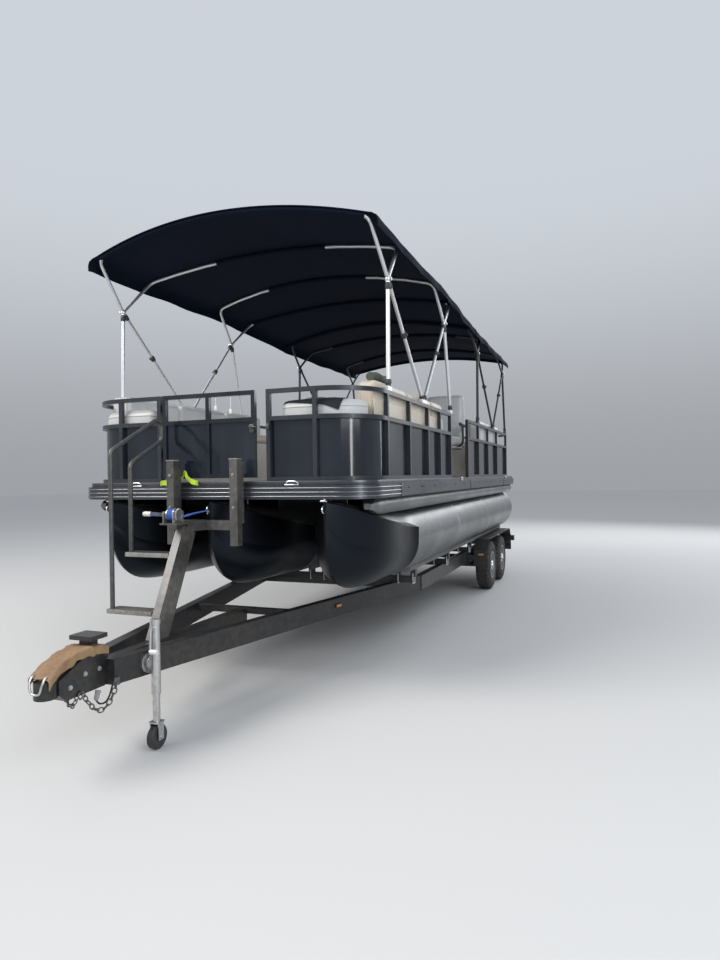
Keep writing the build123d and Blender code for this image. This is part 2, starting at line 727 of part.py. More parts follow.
def jack():
    """Screw jack with its bracket on the port tongue rail."""
    root = rail_point(jack_x - 22, 0, pivot_z_jack)
    plate = rail_point(jack_x - 22, 12, pivot_z_jack)
    tip = rail_point(jack_x - 22, 26, pivot_z_jack)
    axis = rail_point(jack_x - 22, 64, pivot_z_jack)
    with BuildPart() as bracket:
        rod(root, plate, 62)
        rod(root, tip, 30)
    save(bracket, "jack_bracket", "jack bracket")
    with BuildPart() as tube:
        rod((axis[0], axis[1], 335), (axis[0], axis[1], 770), 28)
        rod((axis[0], axis[1], 758), (axis[0], axis[1], 780), 32)
        beam(rail_point(jack_x - 22, 33, pivot_z_jack), axis, 50, 100)
        rod(rail_point(jack_x - 22, 27, pivot_z_jack), rail_point(jack_x - 22, 34, pivot_z_jack), 40)
        rod((axis[0], axis[1], 300), (axis[0], axis[1], 700), 22 + seat_gap, mode=Mode.SUBTRACT)
        rod((axis[0], axis[1], 735), (axis[0] + 70, axis[1] + 20, 735), 9)
        rod((axis[0] + 70, axis[1] + 20, 740), (axis[0] + 76, axis[1] + 20, 600), 8)
        rod((axis[0] + 76, axis[1] + 20, 606), (axis[0] + 76, axis[1] + 70, 606), 13)
    save(tube, "jack_tube", "jack outer tube")
    with BuildPart() as leg:
        rod((axis[0], axis[1], 165), (axis[0], axis[1], 520), 22)
        block(axis[0] - 34, axis[0] + 34, axis[1] - 34, axis[1] + 34, 159, 167)
        for side in (-1, 1):
            low = axis[1] + side * (caster_w / 2 + 6)
            high = axis[1] + side * (caster_w / 2 + 11)
            block(axis[0] - 24, axis[0] + 24, min(low, high), max(low, high), 58, 160)
        rod((axis[0], axis[1] - caster_w / 2 - 16, caster_r), (axis[0], axis[1] + caster_w / 2 + 16, caster_r), 8)
    save(leg, "jack_leg", "jack inner leg and fork")
    with BuildPart() as roller:
        rod((axis[0], axis[1] - caster_w / 2, caster_r), (axis[0], axis[1] + caster_w / 2, caster_r), caster_r)
        fillet(roller.edges().filter_by(GeomType.CIRCLE), 8)
        rod((axis[0], axis[1] - 60, caster_r), (axis[0], axis[1] + 60, caster_r), 8 + seat_gap, mode=Mode.SUBTRACT)
    save(roller, "jack_wheel", "jack wheel")
    return axis


def winch_stand():
    """Raked post, cross bar and the two bow stops."""
    with BuildPart() as stand:
        beam((705, 0, 545), (352, 0, 1275), post_w, 150)
        block(100, 380, -30, 30, 1255, 1325)
        block(100, 165, -stop_y - 25, stop_y + 25, 1255, 1325)
        for side in (-1, 1):
            width = side * stop_y
            block(100, 165, width - 32, width + 32, 1140, 1770)
            block(rail_front + 5 + seat_gap, 100, width - 28, width + 28, 1300, 1755)
        block(240, 560, -70, 70, 1318, 1330)
        block(0, 1200, -400, 400, 400, beam_top - 20, mode=Mode.SUBTRACT)
    save(stand, "winch_stand", "winch stand")


def winch():
    """Hand winch on top of the stand."""
    with BuildPart() as drum:
        for side in (-1, 1):
            low = side * 38
            high = side * 43
            block(440, 560, min(low, high), max(low, high), 1330, 1410)
        rod((500, -62, 1385), (500, 50, 1385), 9)
        rod((500, -37.9, 1385), (500, 37.9, 1385), 34)
        rod((500, -30, 1385), (500, -24, 1385), 46)
        rod((500, 24, 1385), (500, 30, 1385), 46)
        beam((500, -66, 1385), (655, -66, 1400), 8, 26)
        rod((655, -62, 1400), (655, -120, 1400), 14)
    save(drum, "winch", "hand winch")


def ladder():
    """Two steps and one bent handrail beside the winch post."""
    with BuildPart() as steps:
        block(570, 680, -430, -post_w / 2, 712, 742)
        block(385, 490, -430, -post_w / 2, 1082, 1112)
        bent_tube([(655, -400, 741), (655, -400, 1830), (95, -400, 2115), (95, -400, 1930), (455, -400, 1745),
                   (455, -400, 1111)], 16, 55)
    save(steps, "boarding_steps", "boarding steps and handrail")


cowl_sections = [
    {"z": 1560, "front": -7500, "back": -7930, "half": 150},
    {"z": 1640, "front": -7470, "back": -7990, "half": 190},
    {"z": 1840, "front": -7475, "back": -8015, "half": 195},
    {"z": 1980, "front": -7530, "back": -7970, "half": 165},
    {"z": 2050, "front": -7610, "back": -7880, "half": 110},
]


def outboard():
    """Clamp, swivel bracket, motor and propeller."""
    with BuildPart() as clamp:
        for side in (-1, 1):
            low = side * 62
            high = side * 76
            block(-7500, pod_back - seat_gap, min(low, high), max(low, high), 1160, 1510)
            block(-7500, -7380, min(low, high), max(low, high), 1440 + seat_gap, 1510)
        block(pod_back - 22, pod_back - seat_gap, -76, 76, 1160, 1400)
        rod((pivot_x, -76, pivot_z), (pivot_x, -61, pivot_z), 20)
        rod((pivot_x, 61, pivot_z), (pivot_x, 76, pivot_z), 20)
        rod((pivot_x, -80, pivot_z), (pivot_x, 80, pivot_z), 10)
    save(clamp, "outboard_clamp", "outboard clamp bracket")
    with BuildPart() as swivel:
        rod((pivot_x, -59, pivot_z), (pivot_x, 59, pivot_z), 18)
        block(swivel_x, pivot_x, -40, 40, pivot_z - 18, pivot_z + 18)
        rod((swivel_x, 0, 1100), (swivel_x, 0, pivot_z + 18), 30)
        rod((pivot_x, -60, pivot_z), (pivot_x, 60, pivot_z), 10 + seat_gap, mode=Mode.SUBTRACT)
        rod((swivel_x, 0, 1090), (swivel_x, 0, 1500), 12 + seat_gap, mode=Mode.SUBTRACT)
    save(swivel, "outboard_swivel", "outboard swivel bracket")
    with BuildPart() as motor:
        for row in cowl_sections:
            with BuildSketch(Plane.XY.offset(row["z"])):
                with Locations((at((row["front"] + row["back"]) / 2), 0)):
                    RectangleRounded(row["front"] - row["back"], 2 * row["half"], row["half"] * 0.6)
        loft()
        rod((swivel_x, 0, 1066), (swivel_x, 0, 1520), 12)
        block(-7800, swivel_x + 28, -40, 40, 1494, 1562)
        block(-7720, swivel_x + 28, -36, 36, 1066, 1092)
        block(-7860, -7600, -75, 75, 960, 1562)
        block(-8000, -7570, -120, 120, prop_z + 184, prop_z + 196)
        block(-7850, -7600, -24, 24, prop_z, 970)
        rod((-7500, 0, prop_z), (-7900, 0, prop_z), 55)
        ball((-7500, 0, prop_z), 55)
        rod((-7895, 0, prop_z), (-8000, 0, prop_z), 12)
        block(-7840, -7660, -5, 5, prop_z - 190, prop_z)
    save(motor, "outboard_motor", "outboard motor")
    with BuildPart() as screw:
        rod((-7906, 0, prop_z), (-8018, 0, prop_z), 46)
        with Locations(Plane(origin=spot((-7958, 0, prop_z)), z_dir=(1, 0, 0))):
            with PolarLocations(0, 3):
                with Locations(Location((40 + (prop_r - 40) / 2, 0, 0), (28, 0, 0))):
                    Box(prop_r - 40, 110, 8)
        rod((-7890, 0, prop_z), (-8005, 0, prop_z), 12 + seat_gap, mode=Mode.SUBTRACT)
    save(screw, "outboard_propeller", "outboard propeller")


def build_all():
    """Write every sub-part."""
    pontoon(tube_y, "pontoon_port", "port tube")
    pontoon(0, "pontoon_centre", "centre tube", pod=True)
    pontoon(-tube_y, "pontoon_starboard", "starboard tube")
    members()
    deck()
    rub_rail()
    for row in fence_spans:
        fence(row)
        panels(row)
    gate("bow_gate", "bow gate", fence_front, -gate_post + 36, gate_post - 110, -gate_post + 24, -1)
    gate("stern_gate", "stern gate", fence_back, stern_open_low + 36, stern_open_high - 36, stern_open_low + 24, 1)
    console()
    steering_wheel()
    chairs()
    for row in tops:
        top_legs(row, 1)
        top_legs(row, -1)
        top_bows(row)
    canopy("front", [(-60, 3515), (-860, 3515), (-2020, 3515), (-2760, 3492), (-3700, 3440)])
    canopy("rear", [(-3701, 3440), (-4420, 3436), (-5770, 3436), (-6500, 3428)])
    trailer_frame()
    bunks()
    axles()
    for which in axle_xs:
        for sign in (1, -1):
            wheel(which, sign)
    fender(1)
    fender(-1)
    coupler()
    jack()
    winch_stand()
    winch()
    ladder()
    outboard()
    bow_lounge("port", 1, -2330)
    bow_lounge("starboard", -1, -2630)
    aft_lounge()


build_all()
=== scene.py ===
"""Dresses the pontoon boat and its trailer: finishes, soft goods, fittings and the studio."""

import logging
import math
from dataclasses import dataclass
from enum import Enum
from typing import Callable, Iterable, Optional, Sequence

import bmesh
import bpy
from mathutils import Matrix, Vector, noise


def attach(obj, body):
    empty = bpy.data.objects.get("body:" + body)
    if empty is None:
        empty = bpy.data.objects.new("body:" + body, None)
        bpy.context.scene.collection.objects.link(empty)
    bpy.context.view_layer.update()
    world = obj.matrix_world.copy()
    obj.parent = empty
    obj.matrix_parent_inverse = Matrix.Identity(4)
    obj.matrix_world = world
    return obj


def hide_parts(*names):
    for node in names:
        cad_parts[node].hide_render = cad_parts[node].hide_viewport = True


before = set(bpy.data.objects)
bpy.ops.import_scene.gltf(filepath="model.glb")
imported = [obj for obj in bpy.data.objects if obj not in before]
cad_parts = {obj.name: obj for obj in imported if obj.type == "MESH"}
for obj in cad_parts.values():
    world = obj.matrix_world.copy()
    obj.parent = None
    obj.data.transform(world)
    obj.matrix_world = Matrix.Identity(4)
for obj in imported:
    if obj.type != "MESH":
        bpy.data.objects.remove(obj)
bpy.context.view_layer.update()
LOG = logging.getLogger("boat")
BOW_X = 3.170
HULL = "boat_and_trailer"
SIDES = (-1.0, 1.0)
TUBE_WIDTHS = (-0.945, 0.0, 0.945)
ORIGIN = (0.0, 0.0, 0.0)
AHEAD = (1.0, 0.0, 0.0)
AFT = (-1.0, 0.0, 0.0)
PORT = (0.0, 1.0, 0.0)
STARBOARD = (0.0, -1.0, 0.0)
UP = (0.0, 0.0, 1.0)
Point = tuple[float, float, float]
Colour = tuple[float, float, float]
Profile = Sequence[tuple[float, float]]
Piece = bpy.types.Object
Tree = bpy.types.NodeTree
Socket = bpy.types.NodeSocket


def at(station: float) -> float:
    """Turn a distance from the bow fence plane into the shared X."""
    return BOW_X + station


def spot(point: Sequence[float]) -> Vector:
    """Turn (station, width, height) into a point of the shared frame."""
    return Vector((at(point[0]), point[1], point[2]))


def placed(station: float, width: float, height: float, turn: float = 0.0, axis: str = "Z") -> Matrix:
    """A place in the boat's frame, turned about one axis."""
    return Matrix.Translation((at(station), width, height)) @ Matrix.Rotation(turn, 4, axis)


def feed(tree: Tree, socket: Socket, source: object) -> None:
    """Link a node input to another node's socket, or set its value.

    Args:
        tree: The node tree.
        socket: The input to feed.
        source: A socket to link, or a value.
    """
    if isinstance(source, bpy.types.NodeSocket):
        tree.links.new(source, socket)
    else:
        socket.default_value = source


def add_node(tree: Tree, kind: str, **sources: object) -> bpy.types.Node:
    """Add a shader node and feed its inputs.

    Args:
        tree: The node tree.
        kind: The node's type without its ShaderNode prefix.
        sources: A socket or a value for each input, by its name in lower case.

    Returns:
        The node.
    """
    made = tree.nodes.new("ShaderNode" + kind)
    for name, source in sources.items():
        feed(tree, made.inputs[name.replace("_", " ").title()], source)
    return made


def maths(tree: Tree, operation: str, *sources: object) -> Socket:
    """Add a math node.

    Args:
        tree: The node tree.
        operation: What the node does.
        sources: Sockets and numbers, in order.

    Returns:
        The result.
    """
    made = tree.nodes.new("ShaderNodeMath")
    made.operation = operation
    for socket, source in zip(made.inputs, sources):
        feed(tree, socket, source)
    return made.outputs[0]


def mixed(tree: Tree, share: Socket, first: object, second: object) -> Socket:
    """Mix two colours.

    Args:
        tree: The node tree.
        share: 0 gives the first colour, 1 the second.
        first: A socket or a colour.
        second: A socket or a colour.

    Returns:
        The mixed colour.
    """
    made = tree.nodes.new("ShaderNodeMix")
    made.data_type = "RGBA"
    for index, source in ((0, share), (6, first), (7, second)):
        feed(tree, made.inputs[index], source)
    return made.outputs[2]


class Pattern(Enum):
    """Surface reliefs that a finish may carry."""

    PLAIN = "plain"
    WEAVE = "weave"
    GRAIN = "grain"
    CARPET = "carpet"


@dataclass(frozen=True)
class ShadeZone:
    """A painted shade colour forward of a start and below a curve that rises forward from a level."""

    start: float
    level: float
    rise: float
    bend: float
    colour: Colour


@dataclass(frozen=True)
class Finish:
    """A procedural finish with colour drift, uneven gloss and a small relief.

    A weave, grain or carpet relief follows its own pattern; a plain one follows the fine noise.
    """

    name: str
    colour: Colour
    shade: Colour
    rough: float = 0.45
    metal: float = 0.0
    coat: float = 0.0
    sheen: float = 0.0
    pattern: Pattern = Pattern.PLAIN
    scale: float = 60.0
    relief: float = 0.15
    stretch: Point = (1.0, 1.0, 1.0)
    drift: float = 2.2
    alpha: float = 1.0
    shade_zone: Optional[ShadeZone] = None
    specular: float = 0.5
    depth: float = 0.0015

    def make(self) -> bpy.types.Material:
        """Build the material.

        Returns:
            The finished node material.
        """
        old = bpy.data.materials.get(self.name)
        if old:
            return old
        made = bpy.data.materials.new(self.name)
        made.use_nodes = True
        tree = made.node_tree
        coords = tree.nodes.new("ShaderNodeTexCoord").outputs["Object"]
        drawn = add_node(tree, "Mapping", scale=self.stretch, vector=coords).outputs["Vector"]
        broad = add_node(tree, "TexNoise", scale=self.drift, detail=4.0, vector=coords).outputs["Fac"]
        fine = add_node(tree, "TexNoise", scale=self.scale, detail=3.0, vector=drawn).outputs["Fac"]
        amount = maths(tree, "MULTIPLY", broad, fine)
        spread = add_node(tree, "MapRange", from_min=0.12, from_max=0.42, value=amount)
        colour = mixed(tree, spread.outputs["Result"], (*self.colour, 1.0), (*self.shade, 1.0))
        # Painted shade: a darker colour in the shade zone, where the finish has one.
        if self.shade_zone:
            colour = self.paint_shade(tree, coords, colour)
        gloss = add_node(tree, "MapRange", to_min=max(self.rough - 0.09, 0.03),
                         to_max=min(self.rough + 0.14, 1.0), value=broad)
        bump = add_node(tree, "Bump", strength=self.relief, distance=self.depth,
                        height=self.height(tree, coords, fine))
        shader = tree.nodes["Principled BSDF"]
        for name, source in (("Base Color", colour), ("Roughness", gloss.outputs["Result"]),
                             ("Metallic", self.metal), ("Coat Weight", self.coat), ("Coat Roughness", 0.08),
                             ("Sheen Weight", self.sheen), ("Specular IOR Level", self.specular),
                             ("Alpha", self.alpha), ("Normal", bump.outputs["Normal"])):
            feed(tree, shader.inputs[name], source)
        return made

    def paint_shade(self, tree: Tree, coords: Socket, colour: Socket) -> Socket:
        """Paint the shade colour forward of the start and below the line.

        Args:
            tree: The material's node tree.
            coords: Object coordinates.
            colour: The colour outside the painted shade.

        Returns:
            The socket with both colours.
        """
        shade_zone = self.shade_zone
        split = add_node(tree, "SeparateXYZ", vector=coords).outputs
        run = maths(tree, "SUBTRACT", split["X"], shade_zone.start)
        steep = maths(tree, "MULTIPLY_ADD", run, shade_zone.bend, shade_zone.rise)
        line = maths(tree, "MULTIPLY_ADD", run, steep, shade_zone.level)
        ahead = maths(tree, "GREATER_THAN", run, 0.0)
        inside = maths(tree, "MULTIPLY", ahead, maths(tree, "LESS_THAN", split["Z"], line))
        return mixed(tree, inside, colour, (*shade_zone.colour, 1.0))

    def height(self, tree: Tree, coords: Socket, fine: Socket) -> Socket:
        """Pick the relief that suits the pattern.

        Args:
            tree: The material's node tree.
            coords: Object coordinates.
            fine: The fine noise already made.

        Returns:
            The socket that carries the relief's height.
        """
        if self.pattern is Pattern.WEAVE:
            waves = []
            for direction in ("X", "Y"):
                wave = add_node(tree, "TexWave", scale=self.scale, distortion=0.4, vector=coords)
                wave.bands_direction = direction
                waves.append(wave.outputs["Fac"])
            return maths(tree, "ADD", *waves)
        if self.pattern in (Pattern.GRAIN, Pattern.CARPET):
            return add_node(tree, "TexVoronoi", scale=self.scale, vector=coords).outputs["Distance"]
        return fine


# Tube aluminium darkened all over: painted reflection of dark ground in the bare metal.
TUBE_METAL_PAINTED_REFLECTION = Finish("tube_metal_painted_reflection", (0.23, 0.24, 0.25), (0.15, 0.15, 0.145), 0.34, 1.0,
                    scale=40.0, stretch=(0.35, 3.0, 3.0), relief=0.12,
                    # Near-black on the lower nose, forward of the nose seam and below the shadow line:
                    # painted shade.
                    shade_zone=ShadeZone(at(-1.242), 1.189, 0.0824, 0.0961, (0.018, 0.022, 0.028)))
MILL_METAL = Finish("mill_metal", (0.40, 0.41, 0.42), (0.28, 0.28, 0.27), 0.45, 1.0)
SILVER_POLE = Finish("silver_pole", (0.68, 0.69, 0.71), (0.55, 0.56, 0.57), 0.26, 1.0, relief=0.05)
BLACK_POLE = Finish("black_pole", (0.012, 0.013, 0.015), (0.03, 0.03, 0.032), 0.34, coat=0.15, relief=0.05)
FENCE_COAT = Finish("fence_coat", (0.020, 0.023, 0.029), (0.040, 0.044, 0.052), 0.34, 0.3, coat=0.15,
                    relief=0.06, specular=0.4)
PANEL_COAT = Finish("panel_coat", (0.006, 0.008, 0.014), (0.018, 0.024, 0.034), 0.10, 0.1, relief=0.85,
                    scale=5.0, stretch=(1.0, 1.0, 0.10), specular=0.75, depth=0.006)
RAIL_METAL = Finish("rail_metal", (0.065, 0.072, 0.085), (0.13, 0.135, 0.145), 0.28, 0.85, relief=0.08,
                    stretch=(0.5, 0.5, 4.0))
DECK_VINYL = Finish("deck_vinyl", (0.24, 0.22, 0.19), (0.16, 0.145, 0.125), 0.7, pattern=Pattern.WEAVE,
                    scale=90.0, relief=0.35)
SHELL_PLASTIC = Finish("shell_plastic", (0.50, 0.48, 0.44), (0.42, 0.40, 0.37), 0.4, relief=0.08)
TAN_VINYL = Finish("tan_vinyl", (0.50, 0.44, 0.36), (0.40, 0.35, 0.28), 0.42, pattern=Pattern.GRAIN,
                   scale=260.0, relief=0.12, sheen=0.1)
GREY_VINYL = Finish("grey_vinyl", (0.52, 0.53, 0.54), (0.42, 0.43, 0.44), 0.4, pattern=Pattern.GRAIN,
                    scale=260.0, relief=0.12, sheen=0.1)
DARK_VINYL = Finish("dark_vinyl", (0.05, 0.052, 0.058), (0.03, 0.031, 0.035), 0.45, pattern=Pattern.GRAIN,
                    scale=260.0, relief=0.12)
# Navy canopy cloth darkened to near black: painted shade of its shadowed underside.
CLOTH = Finish("top_cloth_painted_shade", (0.0035, 0.0065, 0.016), (0.008, 0.012, 0.025), 0.86, pattern=Pattern.WEAVE,
               scale=240.0, relief=0.25, drift=1.3, specular=0.08)
BLACK_PAINT = Finish("black_paint", (0.010, 0.011, 0.014), (0.040, 0.036, 0.031), 0.36, coat=0.12, relief=0.1,
                     scale=26.0, specular=0.4)
# Winch post: worn black paint whose light patches also stand in for sun glare, a lit copy of the black paint:
# painted highlight.
WORN_POST_PAINT_WITH_GLARE = Finish("worn_post_paint_with_glare", (0.020, 0.019, 0.019), (0.10, 0.092, 0.080), 0.42, coat=0.2,
                    scale=26.0, specular=1.0)
# Rib beads: brighter than the rail metal, a painted highlight of the sunlit ribs.
BEAD_METAL_PAINTED_HIGHLIGHT = Finish("bead_metal_painted_highlight", (0.20, 0.21, 0.23), (0.30, 0.31, 0.33), 0.22, 1.0, relief=0.05)
# Step tread plates: worn metal, paler than the step paint, with painted sunlight on the step tops.
WORN_SUNLIT_TREAD_METAL = Finish("worn_sunlit_tread_metal", (0.34, 0.33, 0.30), (0.17, 0.165, 0.15), 0.48, 0.35, relief=0.2,
                     scale=40.0)
STEP_PAINT = Finish("step_paint", (0.055, 0.057, 0.062), (0.12, 0.115, 0.105), 0.40, 0.5, relief=0.12,
                    scale=30.0)
CAP_PLASTIC = Finish("cap_plastic", (0.30, 0.31, 0.32), (0.16, 0.16, 0.16), 0.5, scale=90.0)
CHAIN_METAL = Finish("chain_metal", (0.20, 0.20, 0.20), (0.10, 0.09, 0.08), 0.45, 0.9)
DARK_COVER = Finish("dark_cover", (0.012, 0.014, 0.018), (0.03, 0.034, 0.040), 0.8, pattern=Pattern.WEAVE,
                    scale=300.0, relief=0.3, specular=0.2)
OLIVE_COVER = Finish("olive_cover", (0.050, 0.058, 0.046), (0.10, 0.11, 0.085), 0.8, pattern=Pattern.WEAVE,
                     scale=300.0, relief=0.3, drift=14.0, specular=0.25)
WORN_TAN = Finish("worn_tan", (0.30, 0.20, 0.105), (0.16, 0.085, 0.055), 0.9, pattern=Pattern.CARPET,
                  scale=240.0, relief=0.8, drift=9.0)
CARPET = Finish("bunk_carpet", (0.17, 0.17, 0.165), (0.10, 0.10, 0.10), 0.95, pattern=Pattern.CARPET,
                scale=420.0, relief=0.6)
TYRE_RUBBER = Finish("tyre_rubber", (0.018, 0.018, 0.018), (0.05, 0.046, 0.042), 0.78, relief=0.2, scale=30.0)
RIM_PAINT = Finish("rim_paint", (0.50, 0.51, 0.52), (0.36, 0.35, 0.33), 0.32, 0.8, relief=0.06)
ZINC = Finish("zinc_plate", (0.58, 0.59, 0.60), (0.40, 0.39, 0.36), 0.34, 0.95, relief=0.1, scale=45.0)
MOTOR_COAT = Finish("motor_coat", (0.012, 0.012, 0.014), (0.02, 0.02, 0.022), 0.18, coat=0.9, relief=0.03)
GRIP_PLASTIC = Finish("grip_plastic", (0.02, 0.02, 0.021), (0.04, 0.04, 0.04), 0.5, pattern=Pattern.GRAIN,
                      scale=300.0)
PROP_METAL = Finish("prop_metal", (0.05, 0.05, 0.055), (0.16, 0.16, 0.16), 0.32, 0.7, relief=0.06)
CHROME = Finish("bright_chrome", (0.75, 0.76, 0.78), (0.66, 0.67, 0.68), 0.12, 1.0, relief=0.02)
BLACK_RUBBER = Finish("black_rubber", (0.02, 0.02, 0.02), (0.05, 0.05, 0.05), 0.7)
RED_LENS = Finish("red_lens", (0.35, 0.012, 0.010), (0.25, 0.01, 0.01), 0.18, coat=0.8, relief=0.1,
                  scale=120.0)
AMBER_LENS = Finish("amber_lens", (0.55, 0.20, 0.02), (0.45, 0.15, 0.015), 0.18, coat=0.8, relief=0.1,
                    scale=120.0)
BLUE_WEB = Finish("blue_webbing", (0.02, 0.10, 0.42), (0.015, 0.06, 0.28), 0.7, pattern=Pattern.WEAVE,
                  scale=500.0, relief=0.4)
PALE_KNOB = Finish("pale_knob", (0.62, 0.62, 0.60), (0.50, 0.49, 0.46), 0.4, relief=0.08)
SMOKED_SCREEN = Finish("smoked_screen", (0.04, 0.045, 0.05), (0.03, 0.034, 0.038), 0.10, coat=0.6, relief=0.0,
                       alpha=0.45)
LIME_WEB = Finish("lime_webbing", (0.50, 0.72, 0.03), (0.38, 0.55, 0.03), 0.65, pattern=Pattern.WEAVE,
                  scale=500.0, relief=0.4)

NODE_FINISHES: dict[str, Finish] = {
    "pontoon_": TUBE_METAL_PAINTED_REFLECTION, "crossmembers": MILL_METAL, "deck": DECK_VINYL, "rub_rail": RAIL_METAL,
    "fence_": FENCE_COAT, "panel_": PANEL_COAT, "bow_gate": PANEL_COAT, "stern_gate": PANEL_COAT,
    "helm_console": SHELL_PLASTIC, "steering_wheel": GRIP_PLASTIC, "chair_pedestal": SILVER_POLE,
    "helm_chair": TAN_VINYL, "port_chair": GREY_VINYL, "top_front_": SILVER_POLE, "top_rear_": BLACK_POLE,
    "canopy_": CLOTH,
    "trailer_frame": BLACK_PAINT, "bunks": CARPET, "axles": BLACK_PAINT, "tyre_": TYRE_RUBBER,
    "rim_": RIM_PAINT, "fender_": BLACK_PAINT, "coupler": BLACK_PAINT, "jack_wheel": GRIP_PLASTIC,
    "jack_": ZINC,
    "winch_stand": WORN_POST_PAINT_WITH_GLARE, "winch": ZINC, "boarding_steps": STEP_PAINT, "outboard_propeller": PROP_METAL,
    "outboard_": MOTOR_COAT, "lounge_port_base": SHELL_PLASTIC, "lounge_starboard_base": SHELL_PLASTIC,
    "lounge_aft_base": SHELL_PLASTIC, "lounge_": TAN_VINYL,
}


def finish_for(node: str) -> Finish:
    """Find the finish whose key is the longest one the node's name starts with."""
    keys = [key for key in NODE_FINISHES if node.startswith(key)]
    return NODE_FINISHES[max(keys, key=len)]


def clear_selection() -> None:
    """Leave edit mode and deselect everything."""
    if bpy.context.object and bpy.context.object.mode != "OBJECT":
        bpy.ops.object.mode_set(mode="OBJECT")
    bpy.ops.object.select_all(action="DESELECT")


def activate(piece: Piece) -> Piece:
    """Make one object the only selected and active one.

    Args:
        piece: The object.

    Returns:
        The same object.
    """
    clear_selection()
    piece.select_set(True)
    bpy.context.view_layer.objects.active = piece
    return piece


def settle(piece: Piece, name: Optional[str] = None) -> Piece:
    """Put a piece's place into its mesh and name it.

    Args:
        piece: The object.
        name: Its new name, or None to leave it.

    Returns:
        The same object.
    """
    activate(piece)
    bpy.ops.object.transform_apply(location=True, rotation=True, scale=True)
    if name:
        piece.name = name
        piece.data.name = name
    return piece


def apply_modifier(piece: Piece, kind: str, **settings: object) -> Piece:
    """Add a modifier with its settings and apply it.

    Args:
        piece: The object.
        kind: The modifier's type.
        settings: Values of its properties.

    Returns:
        The same object.
    """
    activate(piece)
    modifier = piece.modifiers.new(kind.lower(), kind)
    for key, value in settings.items():
        setattr(modifier, key, value)
    bpy.ops.object.modifier_apply(modifier=modifier.name)
    return piece


def shade(piece: Piece, degrees: float = 40.0) -> Piece:
    """Smooth a piece's shading.

    Args:
        piece: The object.
        degrees: Edges sharper than this stay sharp.

    Returns:
        The same object.
    """
    activate(piece)
    bpy.ops.object.shade_smooth_by_angle(angle=math.radians(degrees))
    return piece


def round_edges(piece: Piece, width: float, segments: int = 2) -> Piece:
    """Round a piece's sharp edges and shade it.

    Args:
        piece: The object.
        width: How far each edge is cut back.
        segments: Steps in each rounded edge.

    Returns:
        The same object.
    """
    apply_modifier(piece, "BEVEL", width=width, segments=segments, limit_method="ANGLE",
                   angle_limit=math.radians(35.0), harden_normals=False)
    return shade(piece)


def edit_mesh(piece: Piece, action: str = "SELECT") -> None:
    """Enter edit mode.

    Args:
        piece: The object.
        action: SELECT for all of its mesh, DESELECT for none.
    """
    activate(piece)
    bpy.ops.object.mode_set(mode="EDIT")
    bpy.ops.mesh.select_all(action=action)


def pick_faces(piece: Piece, test: Callable[[Vector, Vector], bool]) -> int:
    """Select faces in edit mode by their centre and normal.

    Args:
        piece: The object, which enters edit mode.
        test: Called with a face's centre and normal.

    Returns:
        How many faces are selected.
    """
    edit_mesh(piece, "DESELECT")
    bpy.ops.mesh.select_mode(type="FACE")
    mesh = bmesh.from_edit_mesh(piece.data)
    count = 0
    for face in mesh.faces:
        if test(face.calc_center_median(), face.normal):
            face.select_set(True)
            count += 1
    bmesh.update_edit_mesh(piece.data)
    return count


def join(pieces: Sequence[Piece], name: str) -> Piece:
    """Join several objects into one named piece.

    Args:
        pieces: The objects, which become one.
        name: The new piece's name.

    Returns:
        The joined piece.
    """
    clear_selection()
    for piece in pieces:
        piece.select_set(True)
    bpy.context.view_layer.objects.active = pieces[0]
    if len(pieces) > 1:
        bpy.ops.object.join()
    made = bpy.context.view_layer.objects.active
    made.name = name
    made.data.name = name
    return made


def fix_normals(piece: Piece) -> Piece:
    """Merge doubles and turn every face outwards.

    Args:
        piece: The object.

    Returns:
        The same object.
    """
    edit_mesh(piece)
    bpy.ops.mesh.remove_doubles(threshold=0.00005)
    bpy.ops.mesh.normals_make_consistent(inside=False)
    bpy.ops.object.mode_set(mode="OBJECT")
    return piece


def slab(centre: Sequence[float], size: Sequence[float], edge: float = 0.003,
         turn: Sequence[float] = (0.0, 0.0, 0.0), segments: int = 2) -> Piece:
    """A block with rounded edges.

    Args:
        centre: Centre in the shared frame.
        size: Length, width and height.
        edge: Edge rounding.
        turn: Euler turn in radians.
        segments: Steps in each rounded edge.

    Returns:
        The settled object.
    """
    clear_selection()
    bpy.ops.mesh.primitive_cube_add(size=1.0, location=centre, rotation=turn)
    made = bpy.context.object
    made.scale = size
    return round_edges(settle(made), edge, segments)


def bar_between(start: Sequence[float], end: Sequence[float], radius: float, sides: int) -> Piece:
    """A round bar between two points of the shared frame.

    Args:
        start: One end.
        end: The other end.
        radius: Half its thickness.
        sides: Faces around.

    Returns:
        The bar.
    """
    low, high = Vector(start), Vector(end)
    run = high - low
    clear_selection()
    bpy.ops.mesh.primitive_cylinder_add(vertices=sides, radius=radius, depth=run.length,
                                        location=(low + high) / 2)
    made = bpy.context.object
    made.rotation_mode = "QUATERNION"
    made.rotation_quaternion = run.to_track_quat("Z", "Y")
    return shade(settle(made))


